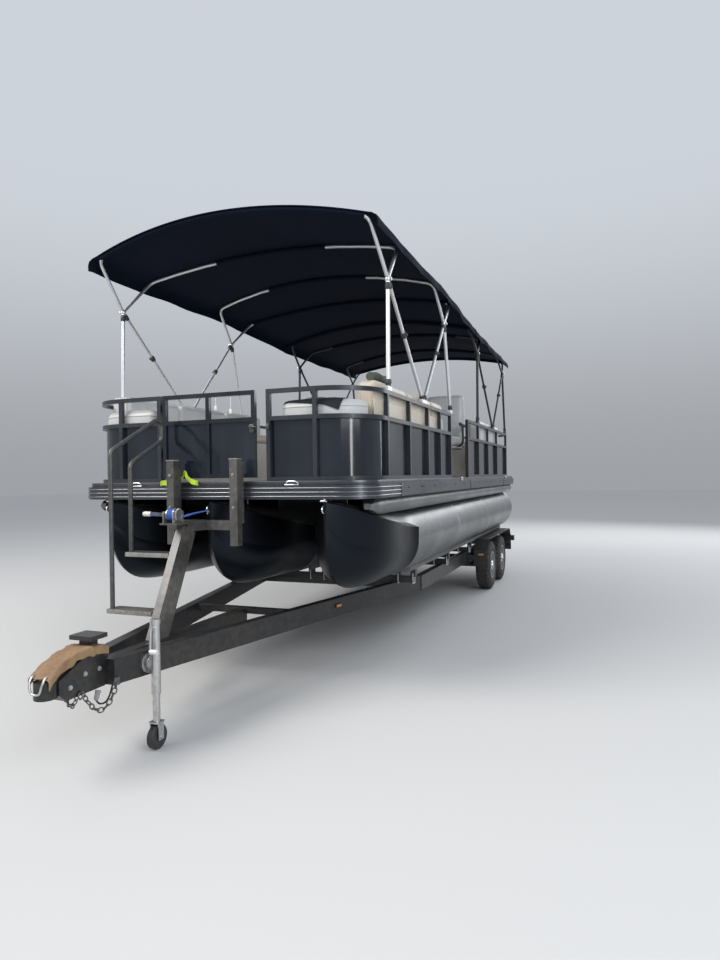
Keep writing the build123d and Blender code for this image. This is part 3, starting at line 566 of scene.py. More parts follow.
def turned(base: Sequence[float], along: Sequence[float], profile: Profile, sides: int,
           cap: bool = True) -> Piece:
    """A turned shape, extruded ring by ring from a disc.

    Args:
        base: Where the axis starts.
        along: The axis direction.
        profile: (radius, distance along the axis) of each ring.
        sides: Faces around.
        cap: Keep the end discs.

    Returns:
        The settled object.
    """
    clear_selection()
    first_radius, first_step = profile[0]
    bpy.ops.mesh.primitive_circle_add(vertices=sides, radius=first_radius, location=(0.0, 0.0, first_step),
                                      fill_type="NGON" if cap else "NOTHING")
    made = settle(bpy.context.object)
    edit_mesh(made)
    radius, step = first_radius, first_step
    for next_radius, next_step in profile[1:]:
        bpy.ops.mesh.extrude_region_move(TRANSFORM_OT_translate={"value": (0.0, 0.0, next_step - step)})
        factor = next_radius / radius
        bpy.ops.transform.resize(value=(factor, factor, 1.0), center_override=(0.0, 0.0, next_step))
        radius, step = next_radius, next_step
    bpy.ops.object.mode_set(mode="OBJECT")
    made.rotation_mode = "QUATERNION"
    made.rotation_quaternion = Vector(along).to_track_quat("Z", "Y")
    made.location = base
    return shade(fix_normals(settle(made)), 35.0)


def copy_of(piece: Piece, place: Matrix) -> Piece:
    """Copy a piece with its own mesh to another place.

    Args:
        piece: The pattern.
        place: Moves and turns the copy's mesh.

    Returns:
        The copy.
    """
    made = piece.copy()
    made.data = piece.data.copy()
    bpy.context.scene.collection.objects.link(made)
    made.data.transform(place)
    return made


def pipe(points: Sequence[Sequence[float]], radius: float, name: str, smooth: bool = True,
         closed: bool = False, round_steps: int = 3) -> Piece:
    """A bent tube made from a curve through points of the shared frame.

    Args:
        points: Where the tube runs.
        radius: Half its thickness.
        name: The piece's name.
        smooth: Round the path between the points.
        closed: Join the last point to the first.
        round_steps: How finely the section is rounded.

    Returns:
        The tube as a mesh.
    """
    clear_selection()
    curve = bpy.data.curves.new(name, "CURVE")
    curve.dimensions = "3D"
    spline = curve.splines.new("NURBS" if smooth else "POLY")
    spline.points.add(len(points) - 1)
    for point, target in zip(spline.points, points):
        point.co = (*target, 1.0)
    if smooth:
        spline.order_u = 3
        spline.use_endpoint_u = not closed
    spline.use_cyclic_u = closed
    curve.bevel_depth = radius
    curve.bevel_resolution = round_steps
    curve.resolution_u = 6
    curve.use_fill_caps = not closed
    made = bpy.data.objects.new(name, curve)
    bpy.context.scene.collection.objects.link(made)
    activate(made)
    bpy.ops.object.convert(target="MESH")
    return shade(fix_normals(bpy.context.object), 50.0)


def smooth_line(points: Sequence[Sequence[float]], steps: int) -> list[Vector]:
    """Run a smooth line through every given point.

    Args:
        points: Where the line runs.
        steps: Steps from each given point to the next.

    Returns:
        The line's points.
    """
    marks = [Vector(point) for point in points]
    marks = [marks[0] * 2 - marks[1], *marks, marks[-1] * 2 - marks[-2]]
    line = []
    for before, start, end, after in zip(marks, marks[1:], marks[2:], marks[3:]):
        for index in range(steps):
            t = index / steps
            line.append(0.5 * (2 * start + (end - before) * t
                               + (2 * before - 5 * start + 4 * end - after) * t ** 2
                               + (3 * start - before - 3 * end + after) * t ** 3))
    return [*line, marks[-2]]


def shaped_grid(name: str, columns: int, rows: int, place: Callable[[float, float], Vector], thickness: float,
                offset: float = 0.0, degrees: Optional[float] = None) -> Piece:
    """A thin sheet made from a grid whose points are moved one by one.

    Args:
        name: The piece's name.
        columns: Cells along the first share.
        rows: Cells along the second share.
        place: Gives a point for two shares that run from -1 to 1.
        thickness: The sheet's thickness.
        offset: -1 thickens inwards, 1 outwards.
        degrees: Edges sharper than this stay sharp, or None for smooth shading all over.

    Returns:
        The closed sheet.
    """
    clear_selection()
    bpy.ops.mesh.primitive_grid_add(x_subdivisions=columns, y_subdivisions=rows, size=2.0)
    made = settle(bpy.context.object, name)
    for vertex in made.data.vertices:
        vertex.co = place(vertex.co.x, vertex.co.y)
    apply_modifier(made, "SOLIDIFY", thickness=thickness, offset=offset)
    fix_normals(made)
    if degrees:
        return shade(made, degrees)
    bpy.ops.object.shade_smooth()
    return made


def rounded_band(name: str, centre: Point, size: tuple[float, float], corner: tuple[float, int], wide: float,
                 tall: float, edge: float) -> Piece:
    """A flat band that runs round a rectangle with round corners.

    Args:
        name: The piece's name.
        centre: Middle of its underside in the shared frame.
        size: Length and width over all.
        corner: Radius and steps of each corner.
        wide: How far the band reaches inwards.
        tall: Its height.
        edge: Edge rounding.

    Returns:
        The closed band.
    """
    clear_selection()
    bpy.ops.mesh.primitive_plane_add(size=1.0, location=centre)
    band = bpy.context.object
    band.scale = (*size, 1.0)
    edit_mesh(settle(band, name))
    bpy.ops.mesh.bevel(offset=corner[0], segments=corner[1], affect="VERTICES")
    bpy.ops.mesh.select_all(action="SELECT")
    bpy.ops.mesh.inset(thickness=wide)
    bpy.ops.mesh.delete(type="FACE")
    bpy.ops.mesh.select_all(action="SELECT")
    bpy.ops.mesh.extrude_region_move(TRANSFORM_OT_translate={"value": (0.0, 0.0, tall)})
    bpy.ops.object.mode_set(mode="OBJECT")
    return round_edges(fix_normals(band), edge)


def hex_head(base: Sequence[float], along: Sequence[float], radius: float, tall: float) -> Piece:
    """A hexagon bolt head with a washer under it."""
    return turned(base, along, [(radius * 1.35, 0.0), (radius * 1.35, tall * 0.18), (radius, tall * 0.2),
                                (radius, tall * 0.86), (radius * 0.82, tall), (radius * 0.01, tall)], sides=6)


def dome_head(base: Sequence[float], along: Sequence[float], radius: float, tall: float,
              sides: int = 10) -> Piece:
    """A low domed screw or rivet head."""
    return turned(base, along, [(radius, 0.0), (radius, tall * 0.25), (radius * 0.72, tall * 0.8),
                                (radius * 0.05, tall)], sides=sides)


def repeated(pattern: Piece, places: Iterable[Matrix], name: str) -> Piece:
    """Copy a pattern to many places and join the copies.

    Args:
        pattern: The piece to copy, which is then removed.
        places: One matrix for each copy.
        name: The new piece's name.

    Returns:
        The joined copies.
    """
    made = join([copy_of(pattern, place) for place in places], name)
    bpy.data.objects.remove(pattern)
    return made


def finish_piece(piece: Piece, finish: Finish, body: str = HULL,
                 stands_for: Iterable[str] = ()) -> Piece:
    """Give a piece its finish and body, and hide the CAD nodes it stands for.

    Args:
        piece: The finished mesh.
        finish: Its material.
        body: The CAD body it rides on.
        stands_for: CAD nodes it replaces.

    Returns:
        The piece.
    """
    piece.data.materials.clear()
    piece.data.materials.append(finish.make())
    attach(piece, body)
    names = tuple(stands_for)
    if names:
        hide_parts(*names)
    LOG.info("%s: %d faces on %s", piece.name, len(piece.data.polygons), body)
    return piece


def assemble(parts: Sequence[Piece], name: str, finish: Finish,
             body: str = HULL) -> Piece:
    """Join parts into one named piece and finish it."""
    return finish_piece(join(parts, name), finish, body)


@dataclass(frozen=True)
class Bow:
    """One bent bow: the station and height of its corners, and how far its crown leans."""

    station: float
    height: float
    lean: float


@dataclass
class SoftTop:
    """One cloth top with hanging side hems, stretched over its bows."""

    name: str
    marks: Sequence[Bow]
    sleeved: Sequence[float]
    rise: float = 0.155
    half: float = 1.226
    edge: float = 1.252
    lift: float = 0.017
    drop: float = 0.100
    sag: float = 0.020
    rows: int = 132
    columns: int = 84

    def along(self, share: float) -> tuple[float, float, float, float]:
        """Station, height, lean and slackness at a share of the way along the cloth.

        Args:
            share: 0 at the first mark, 1 at the last.

        Returns:
            The four values.
        """
        total = self.marks[0].station - self.marks[-1].station
        station = self.marks[0].station - share * total
        for fore, aft in zip(self.marks, self.marks[1:]):
            if station >= aft.station - 1e-6:
                part = (fore.station - station) / (fore.station - aft.station)
                slack = 4.0 * part * (1.0 - part) * min((fore.station - aft.station) / 1.1, 1.1)
                return (station, fore.height + (aft.height - fore.height) * part,
                        fore.lean + (aft.lean - fore.lean) * part, slack)
        return station, self.marks[-1].height, self.marks[-1].lean, 0.0

    def place(self, share: float, across: float) -> Vector:
        """Point of the cloth.

        Args:
            share: 0 at the front hem, 1 at the back hem.
            across: From -1 at the starboard hem to 1 at the port hem.

        Returns:
            The point in the shared frame.
        """
        station, height, lean, slack = self.along(share)
        side = 1.0 if across >= 0 else -1.0
        flat = 0.92
        reach = min(abs(across) / flat, 1.0)
        width = reach * self.edge
        bulge = 1.0 - (width / self.half) ** 2
        top = height + self.lift + self.rise * bulge
        top -= self.sag * slack * (0.45 + 0.55 * (1.0 - reach ** 4))
        top += 0.0040 * slack * noise.noise(Vector((station * 2.4, side * width * 3.0, 3.0)))
        top += 0.0022 * slack * math.sin(station * 52.0 + width * 7.0) * max(reach - 0.6, 0.0)
        ahead = station + lean * max(bulge, 0.0)
        if abs(across) <= flat:
            return Vector((at(ahead), side * width, top))
        fall = (abs(across) - flat) / (1.0 - flat)
        out = 0.058 * math.sin(min(fall * 1.5, 1.0) * math.pi / 2)
        out += 0.006 * math.sin(station * 11.0 + side) * fall - 0.010 * slack * fall
        down = self.drop * (0.18 * fall + 0.82 * fall ** 1.6)
        down += 0.006 * slack * math.sin(station * 6.0 + side) * fall
        return Vector((at(ahead), side * (width + out), top - down))

    def build(self) -> None:
        """Build the cloth, its hem and its sewn sleeves."""
        cloth = self.sheet_mesh()
        finish_piece(cloth, CLOTH, stands_for=[f"canopy_{self.name}"])
        hem = self.hem()
        finish_piece(hem, CLOTH)
        sleeves = self.sleeves()
        finish_piece(sleeves, CLOTH)
        self.flat()

    def flat(self) -> tuple[float, float]:
        """Width and length of the cloth before it was stretched.

        Returns:
            Both in metres.
        """
        wide = [self.place(0.4, index / 60.0 - 1.0) for index in range(121)]
        long = [self.place(index / 120.0, 0.3) for index in range(121)]
        width = sum((b - a).length for a, b in zip(wide, wide[1:]))
        length = sum((b - a).length for a, b in zip(long, long[1:]))
        return round(width, 3), round(length, 3)

    def sheet_mesh(self) -> Piece:
        """The cloth as one continuous sheet.

        Returns:
            The closed sheet.
        """
        def point(along: float, across: float) -> Vector:
            """Find a point of the cloth for two shares from -1 to 1."""
            eased = math.copysign(1.0 - (1.0 - abs(across)) ** 1.35, across)
            return self.place((1.0 - along) / 2.0, eased)

        return shaped_grid(f"soft_top_{self.name}", self.rows, self.columns, point, 0.0016, 1.0, 60.0)

    def hem(self) -> Piece:
        """The bound edge all round.

        Returns:
            The hem.
        """
        steps = 80
        shares = [index / steps for index in range(steps)]
        loop = [self.place(share, -1.0) for share in shares]
        loop += [self.place(1.0, 2.0 * share - 1.0) for share in shares]
        loop += [self.place(1.0 - share, 1.0) for share in shares]
        loop += [self.place(0.0, 1.0 - 2.0 * share) for share in shares]
        return pipe(loop, 0.0042, f"soft_top_{self.name}_hem", smooth=False, closed=True, round_steps=1)

    def sleeves(self) -> Piece:
        """Sewn sleeves that hide the middle of each bow.

        Returns:
            The joined sleeves.
        """
        parts = []
        for mark, reach in zip(self.marks[1:], self.sleeved):
            if reach <= 0.0:
                continue
            line = []
            for index in range(41):
                width = reach * (index / 20.0 - 1.0)
                bulge = 1.0 - (width / self.half) ** 2
                line.append(Vector((at(mark.station + mark.lean * bulge), width,
                                    mark.height + self.rise * bulge - 0.002)))
            parts.append(pipe(line, 0.0205, f"sleeve_{self.name}", smooth=False))
        return join(parts, f"soft_top_{self.name}_sleeves")


Route = Callable[[float, float], tuple[float, float]]


def fence_route(side: float) -> Route:
    """Route along the inside of a bow corner of the fence.

    Args:
        side: 1 for port, -1 for starboard.

    Returns:
        A function from (distance along, distance in) to station and width.
    """
    def follow(along: float, inward: float) -> tuple[float, float]:
        """Find a point of the route.

        Args:
            along: Distance along the route.
            inward: Distance in from the fence.

        Returns:
            Station and width.
        """
        bend = 0.372
        if along < 0.30:
            return -0.024 - inward, side * (0.56 + along)
        turn = (along - 0.30) / bend
        reach = bend - inward
        if turn < math.pi / 2:
            return -0.396 + reach * math.cos(turn), side * (0.86 + reach * math.sin(turn))
        return -0.396 - (along - 0.30 - bend * math.pi / 2), side * (1.232 - inward)
    return follow


@dataclass
class Cushion:
    """A stuffed pad with rounded sides, a crown and sewn channels, straight or bent along a route."""

    name: str
    low: Point
    high: Point
    round_by: float = 0.040
    crown: float = 0.016
    pinch: float = 0.006
    channels: int = 0
    channel_axis: int = 0
    cuts: int = 22
    face_axis: int = 2
    face_sign: float = 1.0
    lean: float = 0.0
    route: Optional[Route] = None

    def place(self, share: Vector) -> Vector:
        """Map a point of a cube that runs from -1 to 1 onto the stuffed form.

        Args:
            share: The cube's point.

        Returns:
            The point in the shared frame.
        """
        low, high = Vector(self.low), Vector(self.high)
        centre, half = (low + high) / 2, (high - low) / 2
        rounding = min(self.round_by, *(0.95 * size for size in half))
        point = Vector(share[axis] * half[axis] for axis in range(3))
        inner = Vector(max(min(point[axis], half[axis] - rounding), rounding - half[axis])
                       for axis in range(3))
        away = point - inner
        if away.length > 1e-9:
            point = inner + away.normalized() * max(abs(component) for component in away)
        swell = 1.0
        for axis in range(3):
            if axis != self.face_axis:
                swell *= 1.0 - share[axis] ** 4
        facing = share[self.face_axis] * self.face_sign
        if facing > 0:
            point[self.face_axis] += self.face_sign * self.crown * swell * facing
        for axis in range(3):
            if axis != self.face_axis:
                other = 3 - axis - self.face_axis
                middle = 1.0 - share[self.face_axis] ** 2
                point[axis] -= self.pinch * share[other] ** 2 * share[axis] * middle
        if self.channels and facing > 0.3:
            phase = (share[self.channel_axis] + 1.0) / 2.0 * (self.channels + 1)
            if 0.4 < phase < self.channels + 0.6:
                groove = math.exp(-(((phase - round(phase)) / 0.09) ** 2))
                point[self.face_axis] -= self.face_sign * 0.010 * groove * max(swell, 0.0) ** 0.25
        made = centre + point
        made.x -= self.lean * (made.z - low.z)
        if self.route:
            station, width = self.route(made.x, made.y)
            return Vector((at(station), width, made.z))
        return Vector((at(made.x), made.y, made.z))

    def build(self) -> Piece:
        """Build the cushion.

        Returns:
            The stuffed form.
        """
        clear_selection()
        bpy.ops.mesh.primitive_cube_add(size=2.0)
        pad = settle(bpy.context.object, self.name)
        edit_mesh(pad)
        bpy.ops.mesh.subdivide(number_cuts=self.cuts)
        bpy.ops.object.mode_set(mode="OBJECT")
        for vertex in pad.data.vertices:
            vertex.co = self.place(vertex.co.copy())
        fix_normals(pad)
        bpy.ops.object.shade_smooth()
        return pad

    def welt(self) -> Piece:
        """The piping that runs round the cushion's face.

        Returns:
            The piping.
        """
        level, radius = 0.55, 0.0045
        loop: list[Vector] = []
        first, second = [axis for axis in range(3) if axis != self.face_axis]
        corners = [(-1, -1), (1, -1), (1, 1), (-1, 1)]
        for (a0, b0), (a1, b1) in zip(corners, corners[1:] + corners[:1]):
            for index in range(24):
                share = Vector((0.0, 0.0, 0.0))
                share[first] = a0 + (a1 - a0) * index / 24
                share[second] = b0 + (b1 - b0) * index / 24
                share[self.face_axis] = level * self.face_sign
                loop.append(self.place(share))
        return pipe(loop, radius, self.name + "_welt", smooth=False, closed=True, round_steps=2)

    def fit(self, finish: Finish, trim: Finish, body: str = HULL, stands_for: Iterable[str] = ()) -> None:
        """Args:
            finish: Finish of the pad.
            trim: Finish of the piping.
            body: The CAD body that both ride on.
            stands_for: CAD nodes that the pad replaces.
        """
        pad = finish_piece(self.build(), finish, body, stands_for)
        finish_piece(self.welt(), trim, body)


@dataclass
class Seating:
    """Lounges round the fence, and the two swivel chairs."""

    inner: float = 0.645
    outer: float = 1.048
    seat_low: float = 1.992
    seat_high: float = 2.078
    rest_low: float = 1.994
    rest_high: float = 2.356

    def build(self) -> None:
        """Build every cushion."""
        self.bow_lounge("port", 1.0, 2.33, TAN_VINYL)
        self.bow_lounge("starboard", -1.0, 2.63, GREY_VINYL)
        self.aft_lounge()
        self.chair("helm_chair", -4.720, -0.790)
        self.chair("port_chair", -3.870, 0.830)

    def bow_lounge(self, side: str, sign: float, back: float, finish: Finish) -> None:
        """Seat, bow bolster and side backrest of one bow lounge.

        Args:
            side: The side's name.
            sign: 1 for port, -1 for starboard.
            back: How far aft of the fence's bow plane it ends.
            finish: Finish of the backrest.
        """
        route = fence_route(sign)
        node = f"lounge_{side}_pads"
        end = 0.30 + 0.372 * math.pi / 2 + back - 0.396
        near, far = sorted((sign * 0.565, sign * self.outer))
        for part, aft, fore, nodes in (("fore", -1.27, -0.235, [node]), ("aft", -back + 0.006, -1.276, [])):
            pad = Cushion(f"bow_seat_{part}_{side}", (aft, near, self.seat_low), (fore, far, self.seat_high),
                          0.038, 0.014, channels=3)
            pad.fit(TAN_VINYL, GREY_VINYL, stands_for=nodes)
        Cushion(f"bow_bolster_{side}", (0.004, 0.004, self.seat_low), (0.745, 0.205, 2.190), 0.055, 0.012,
                cuts=26, route=route).fit(GREY_VINYL, TAN_VINYL)
        marks = [0.765, 1.55, 2.36, end]
        for number, (start, stop) in enumerate(zip(marks, marks[1:])):
            rest = Cushion(f"bow_rest_{side}_{number}", (start, 0.004, self.rest_low),
                           (stop - 0.006, 0.176, self.rest_high), 0.050, 0.012, face_axis=1, channels=2,
                           route=route, cuts=26)
            rest.fit(finish, TAN_VINYL if sign < 0 else GREY_VINYL)
        shell = Cushion(f"bow_rest_shell_{side}", (marks[0], -0.0015, self.seat_low),
                        (end - 0.01, 0.020, 2.205), 0.010, 0.0, pinch=0.0, cuts=30, route=route)
        finish_piece(shell.build(), TAN_VINYL)

    def aft_lounge(self) -> None:
        """Port side bench and stern bench."""
        for number, aft, fore, nodes in ((0, -5.145, -4.405, ["lounge_aft_pads"]), (1, -5.895, -5.151, [])):
            seat = Cushion(f"aft_seat_{number}", (aft, self.inner, self.seat_low),
                           (fore, self.outer, self.seat_high), channels=2)
            seat.fit(TAN_VINYL, GREY_VINYL, stands_for=nodes)
        for number, (aft, fore) in enumerate(((-5.146, -4.404), (-5.896, -5.154))):
            rest = Cushion(f"aft_rest_{number}", (aft, 1.058, self.rest_low), (fore, 1.228, self.rest_high),
                           0.050, 0.012, face_axis=1, face_sign=-1.0, channels=2)
            rest.fit(GREY_VINYL, TAN_VINYL)
        for number, (low, high) in enumerate(((-0.836, -0.293), (-0.287, 0.256))):
            Cushion(f"stern_seat_{number}", (-6.555, low, self.seat_low), (-6.155, high, self.seat_high),
                    channels=2, channel_axis=1).fit(TAN_VINYL, GREY_VINYL)
            rest = Cushion(f"stern_rest_{number}", (-6.731, low, self.rest_low),
                           (-6.563, high, self.rest_high), 0.050, 0.012, face_axis=0, channels=2,
                           channel_axis=1)
            rest.fit(GREY_VINYL, TAN_VINYL)

    def chair(self, node: str, station: float, width: float) -> None:
        """High back swivel chair with stuffed seat, back and arms.

        Args:
            node: The chair's CAD node and body.
            station: Where its axis stands along the boat.
            width: Where its axis stands across the boat.
        """
        seat = Cushion(f"{node}_seat", (station - 0.185, width - 0.235, 1.990),
                       (station + 0.248, width + 0.235, 2.110), 0.045, channels=2, channel_axis=1)
        seat.fit(GREY_VINYL, TAN_VINYL, node, [node])
        back = Cushion(f"{node}_back", (station - 0.285, width - 0.245, 2.075),
                       (station - 0.165, width + 0.245, 2.665), 0.055, face_axis=0, channels=2,
                       channel_axis=2, lean=0.05)
        back.fit(GREY_VINYL, TAN_VINYL, node)
        shell = slab((at(station - 0.292), width, 2.27), (0.020, 0.44, 0.50), 0.009, (0.0, -0.05, 0.0), 3)
        pan = slab((at(station + 0.020), width, 1.974), (0.43, 0.45, 0.030), 0.012, segments=3)
        assemble([shell, pan], f"{node}_shell", SHELL_PLASTIC, node)
        arms = []
        for side in SIDES:
            arm = width + side * 0.272
            arms.append(slab((at(station - 0.055), arm, 2.262), (0.37, 0.048, 0.044), 0.018, segments=4))
            arms.append(pipe([(at(station - 0.02), width + side * 0.20, 1.985),
                              (at(station - 0.02), arm + side * 0.006, 2.02),
                              (at(station - 0.01), arm, 2.15), (at(station), arm, 2.25)], 0.014, "post"))
            arms.append(pipe([(at(station - 0.232), arm, 2.262), (at(station - 0.262), arm, 2.262),
                              (at(station - 0.286), width + side * 0.21, 2.262)], 0.012, "stay"))
        assemble(arms, f"{node}_arms", DARK_VINYL, node)


@dataclass
class Covers:
    """Covers left in the bow: one dropped over the port bolster, one rolled up on the backrest."""

    def build(self) -> None:
        """Drop the loose cover and roll up the other."""
        self.dropped()
        self.rolled()

    def dropped(self) -> None:
        """A loose cloth that falls over the port bow bolster in a short cloth simulation."""
        clear_selection()
        bpy.ops.mesh.primitive_grid_add(x_subdivisions=44, y_subdivisions=64, size=1.0,
                                        location=(at(-0.150), 0.830, 2.300))
        cloth = bpy.context.object
        cloth.scale = (0.340, 0.560, 1.0)
        settle(cloth, "loose_cover")
        for vertex in cloth.data.vertices:
            fold = vertex.co.y * 34.0 + vertex.co.x * 9.0
            vertex.co.z += 0.012 * math.sin(fold) + 0.010 * noise.noise(vertex.co * 7.0)
            vertex.co.y = 0.830 + (vertex.co.y - 0.830) * 0.80
        rests = [bpy.data.objects["bow_bolster_port"], bpy.data.objects["bow_seat_fore_port"]]
        for piece in rests:
            modifier = piece.modifiers.new("rest", "COLLISION")
            modifier.id_data.collision.thickness_outer = 0.003
        drape = cloth.modifiers.new("drape", "CLOTH")
        drape.settings.quality = 6
        drape.settings.mass = 0.35
        drape.settings.bending_stiffness = 0.4
        drape.settings.air_damping = 3.0
        drape.collision_settings.distance_min = 0.003
        drape.collision_settings.use_self_collision = True
        drape.collision_settings.self_distance_min = 0.002
        scene = bpy.context.scene
        for number in range(1, 46):
            scene.frame_set(number)
        activate(cloth)
        bpy.ops.object.modifier_apply(modifier="drape")
        for piece in rests:
            piece.modifiers.remove(piece.modifiers["rest"])
        scene.frame_set(1)
        apply_modifier(cloth, "SOLIDIFY", thickness=0.0016, offset=0.0)
        fix_normals(cloth)
        bpy.ops.object.shade_smooth_by_angle(angle=math.radians(60.0))
        finish_piece(cloth, DARK_COVER)

    def rolled(self) -> None:
        """A rolled cover that lies along the top of the port backrest."""
        line = smooth_line([spot(mark) for mark in ((-0.420, 1.130, 2.392), (-0.520, 1.148, 2.398),
                                                    (-0.640, 1.150, 2.396), (-0.760, 1.156, 2.392))], 8)
        roll = pipe(line, 0.036, "rolled_cover", smooth=False, round_steps=10)
        for vertex in roll.data.vertices:
            lump = noise.noise(vertex.co * 11.0)
            vertex.co.z += 0.010 * lump
            vertex.co.y += 0.005 * noise.noise(vertex.co * 23.0)
        finish_piece(roll, OLIVE_COVER)


@dataclass
class DeckEdge:
    """Trim round the deck's edge, rub rail beads, screws, joints and cleats."""

    half: float = 1.2955
    front: float = 0.065
    bend: float = 0.255
    beads_back: float = -0.620

    def build(self) -> None:
        """Add every fitting of the deck's edge."""
        self.trim()
        self.beads()
        self.rail_bolts()
        self.cleats()

    def trim(self) -> None:
        """The folded metal strip that covers the edge of the deck."""
        band = rounded_band("deck_edge_trim", (at(-3.560), 0.0, 1.5755), (7.186, 2.556), (0.233, 12), 0.016,
                            0.0315, 0.0014)
        finish_piece(band, RAIL_METAL)

    def beads(self) -> None:
        """Beads along the rail's three ribs, round the bow and its corners, in a brighter metal than the
        rail: painted highlight of the sunlit ribs.
        """
        reach = self.half + 0.0045
        straight = reach - self.bend
        line = [(at(self.beads_back), reach)]
        for step in range(13):
            turn = math.pi / 2 * (1.0 - step / 12)
            line.append((at(self.front - self.bend + self.bend * math.cos(turn)),
                         straight + self.bend * math.sin(turn)))
        line += [(x, -y) for x, y in reversed(line)]
        made = []
        for height in (1.496, 1.526, 1.556):
            made.append(pipe([(x, y, height) for x, y in line], 0.0042, "bead", smooth=False, round_steps=2))
        assemble(made, "rub_rail_beads", BEAD_METAL_PAINTED_HIGHLIGHT)

    def rail_bolts(self) -> None:
        """Screws in the rail's channels and the butt joints between its lengths."""
        screw = dome_head(ORIGIN, PORT, 0.0075, 0.0052)
        height = 1.5405
        places = []
        for index in range(16):
            station = -0.42 - index * 0.43
            places.append(placed(station, self.half, height))
            places.append(placed(station, -self.half, height, math.pi))
        places += [placed(0.0605, width, height, -math.pi / 2) for width in (-0.93, -0.62, -0.03, 0.62, 0.93)]
        finish_piece(repeated(screw, places, "rub_rail_screws"), BLACK_RUBBER)
        joints = []
        for station in (-0.66, -3.40, -5.90):
            for side in SIDES:
                joints.append(slab((at(station), side * 1.2985, 1.525), (0.046, 0.0075, 0.098), 0.0015))
        assemble(joints, "rub_rail_joints", RAIL_METAL)

    def cleats(self) -> None:
        """Low pull-up cleats on the deck's edge at the bow, amidships and the stern."""
        parts = []
        arch = ((-0.050, 0.0, 0.010), (-0.036, 0.0, 0.026), (0.0, 0.0, 0.031), (0.036, 0.0, 0.026),
                (0.050, 0.0, 0.010))
        for station, width, turn in ((0.0455, 0.690, math.pi / 2), (-2.95, 1.2865, 0.0),
                                     (-6.20, 1.2865, 0.0)):
            for side in reversed(SIDES):
                base = slab((0.0, 0.0, 0.0045), (0.120, 0.020, 0.008), 0.003)
                horn = pipe(smooth_line(arch, 5), 0.0052, "cleat", False)
                for part in (base, horn):
                    part.data.transform(placed(station, side * width, 1.5755, turn))
                    parts.append(part)
        assemble(parts, "deck_cleats", CHROME)


@dataclass
class FenceFittings:
    """Rivets along the panels, fence feet, gate latches and the clips that hang in the gate."""

    def build(self) -> None:
        """Add every fitting of the fence."""
        self.rivets()
        self.feet()
        self.latches()
        self.hangers()

    def rivets(self) -> None:
        """Rivets that hold the sheets to the posts."""
        rivet = dome_head(ORIGIN, PORT, 0.0042, 0.0022, 8)
        heights = (1.655, 1.785, 1.915, 2.035)
        rows = {0.0: (-0.430, -1.010, -1.600, -2.060, -2.507, -3.388, -4.060, -4.740, -5.480, -6.384),
                math.pi: (-0.430, -1.010, -1.600, -2.200, -2.780, -3.324, -4.060, -4.740, -5.480, -6.384)}
        places = []
        for turn, stations in rows.items():
            width = math.copysign(1.2722, math.cos(turn))
            places += [placed(station, width, height, turn) for station in stations for height in heights]
        places += [placed(0.0160, width, height, -math.pi / 2) for width in (-0.860, -0.485, 0.485, 0.860)
                   for height in heights]
        finish_piece(repeated(rivet, places, "fence_rivets"), FENCE_COAT)

    def feet(self) -> None:
        """Small angle feet that bolt the fence to the deck."""
        parts = []
        for side in SIDES:
            for station in (-0.720, -1.305, -1.830, -3.700, -4.400, -5.110, -5.930):
                parts.append(slab((at(station), side * 1.2365, 1.6225), (0.038, 0.003, 0.030), 0.001))
                parts.append(slab((at(station), side * 1.2240, 1.6078), (0.038, 0.026, 0.003), 0.001))
                parts.append(dome_head((at(station), side * 1.2235, 1.6092), UP, 0.006, 0.004))
        assemble(parts, "fence_feet", RAIL_METAL)

    def latches(self) -> None:
        """Slide latches on the free edges of both gates, and the bow one's keeper."""
        low = 2.000
        leaf = [slab((at(0.0205), 0.352, low), (0.009, 0.036, 0.062), 0.002),
                bar_between((at(0.0290), 0.340, low + 0.010), (at(0.0290), 0.388, low + 0.010), 0.0055, 14),
                turned((at(0.0290), 0.352, low + 0.010), AHEAD,
                       [(0.006, 0.0), (0.006, 0.014), (0.010, 0.016), (0.010, 0.022), (0.001, 0.024)],
                       sides=16)]
        assemble(leaf, "bow_gate_latch", STEP_PAINT, "bow_gate")
        keeper = slab((at(0.0205), 0.483, low + 0.010), (0.010, 0.024, 0.040), 0.002)
        assemble([keeper], "bow_gate_keeper", STEP_PAINT)
        stern = [slab((at(-6.8005), 0.940, 2.190), (0.009, 0.036, 0.062), 0.002),
                 bar_between((at(-6.8090), 0.926, 2.200), (at(-6.8090), 0.966, 2.200), 0.0055, 14)]
        assemble(stern, "stern_gate_latch", CHROME, "stern_gate")

    def hangers(self) -> None:
        """Two snap clips that hang in the gate's upper opening."""
        parts = []
        for width, low in ((0.045, 2.150), (0.175, 2.120)):
            parts.append(pipe([(at(0.0245), width, 2.2435), (at(0.0255), width + 0.003, 2.206),
                               (at(0.0250), width, low + 0.030)], 0.0028, "strap", round_steps=1))
            parts.append(slab((at(0.0250), width, low + 0.014), (0.010, 0.022, 0.036), 0.004, segments=3))
        assemble(parts, "gate_clips", PALE_KNOB, "bow_gate")


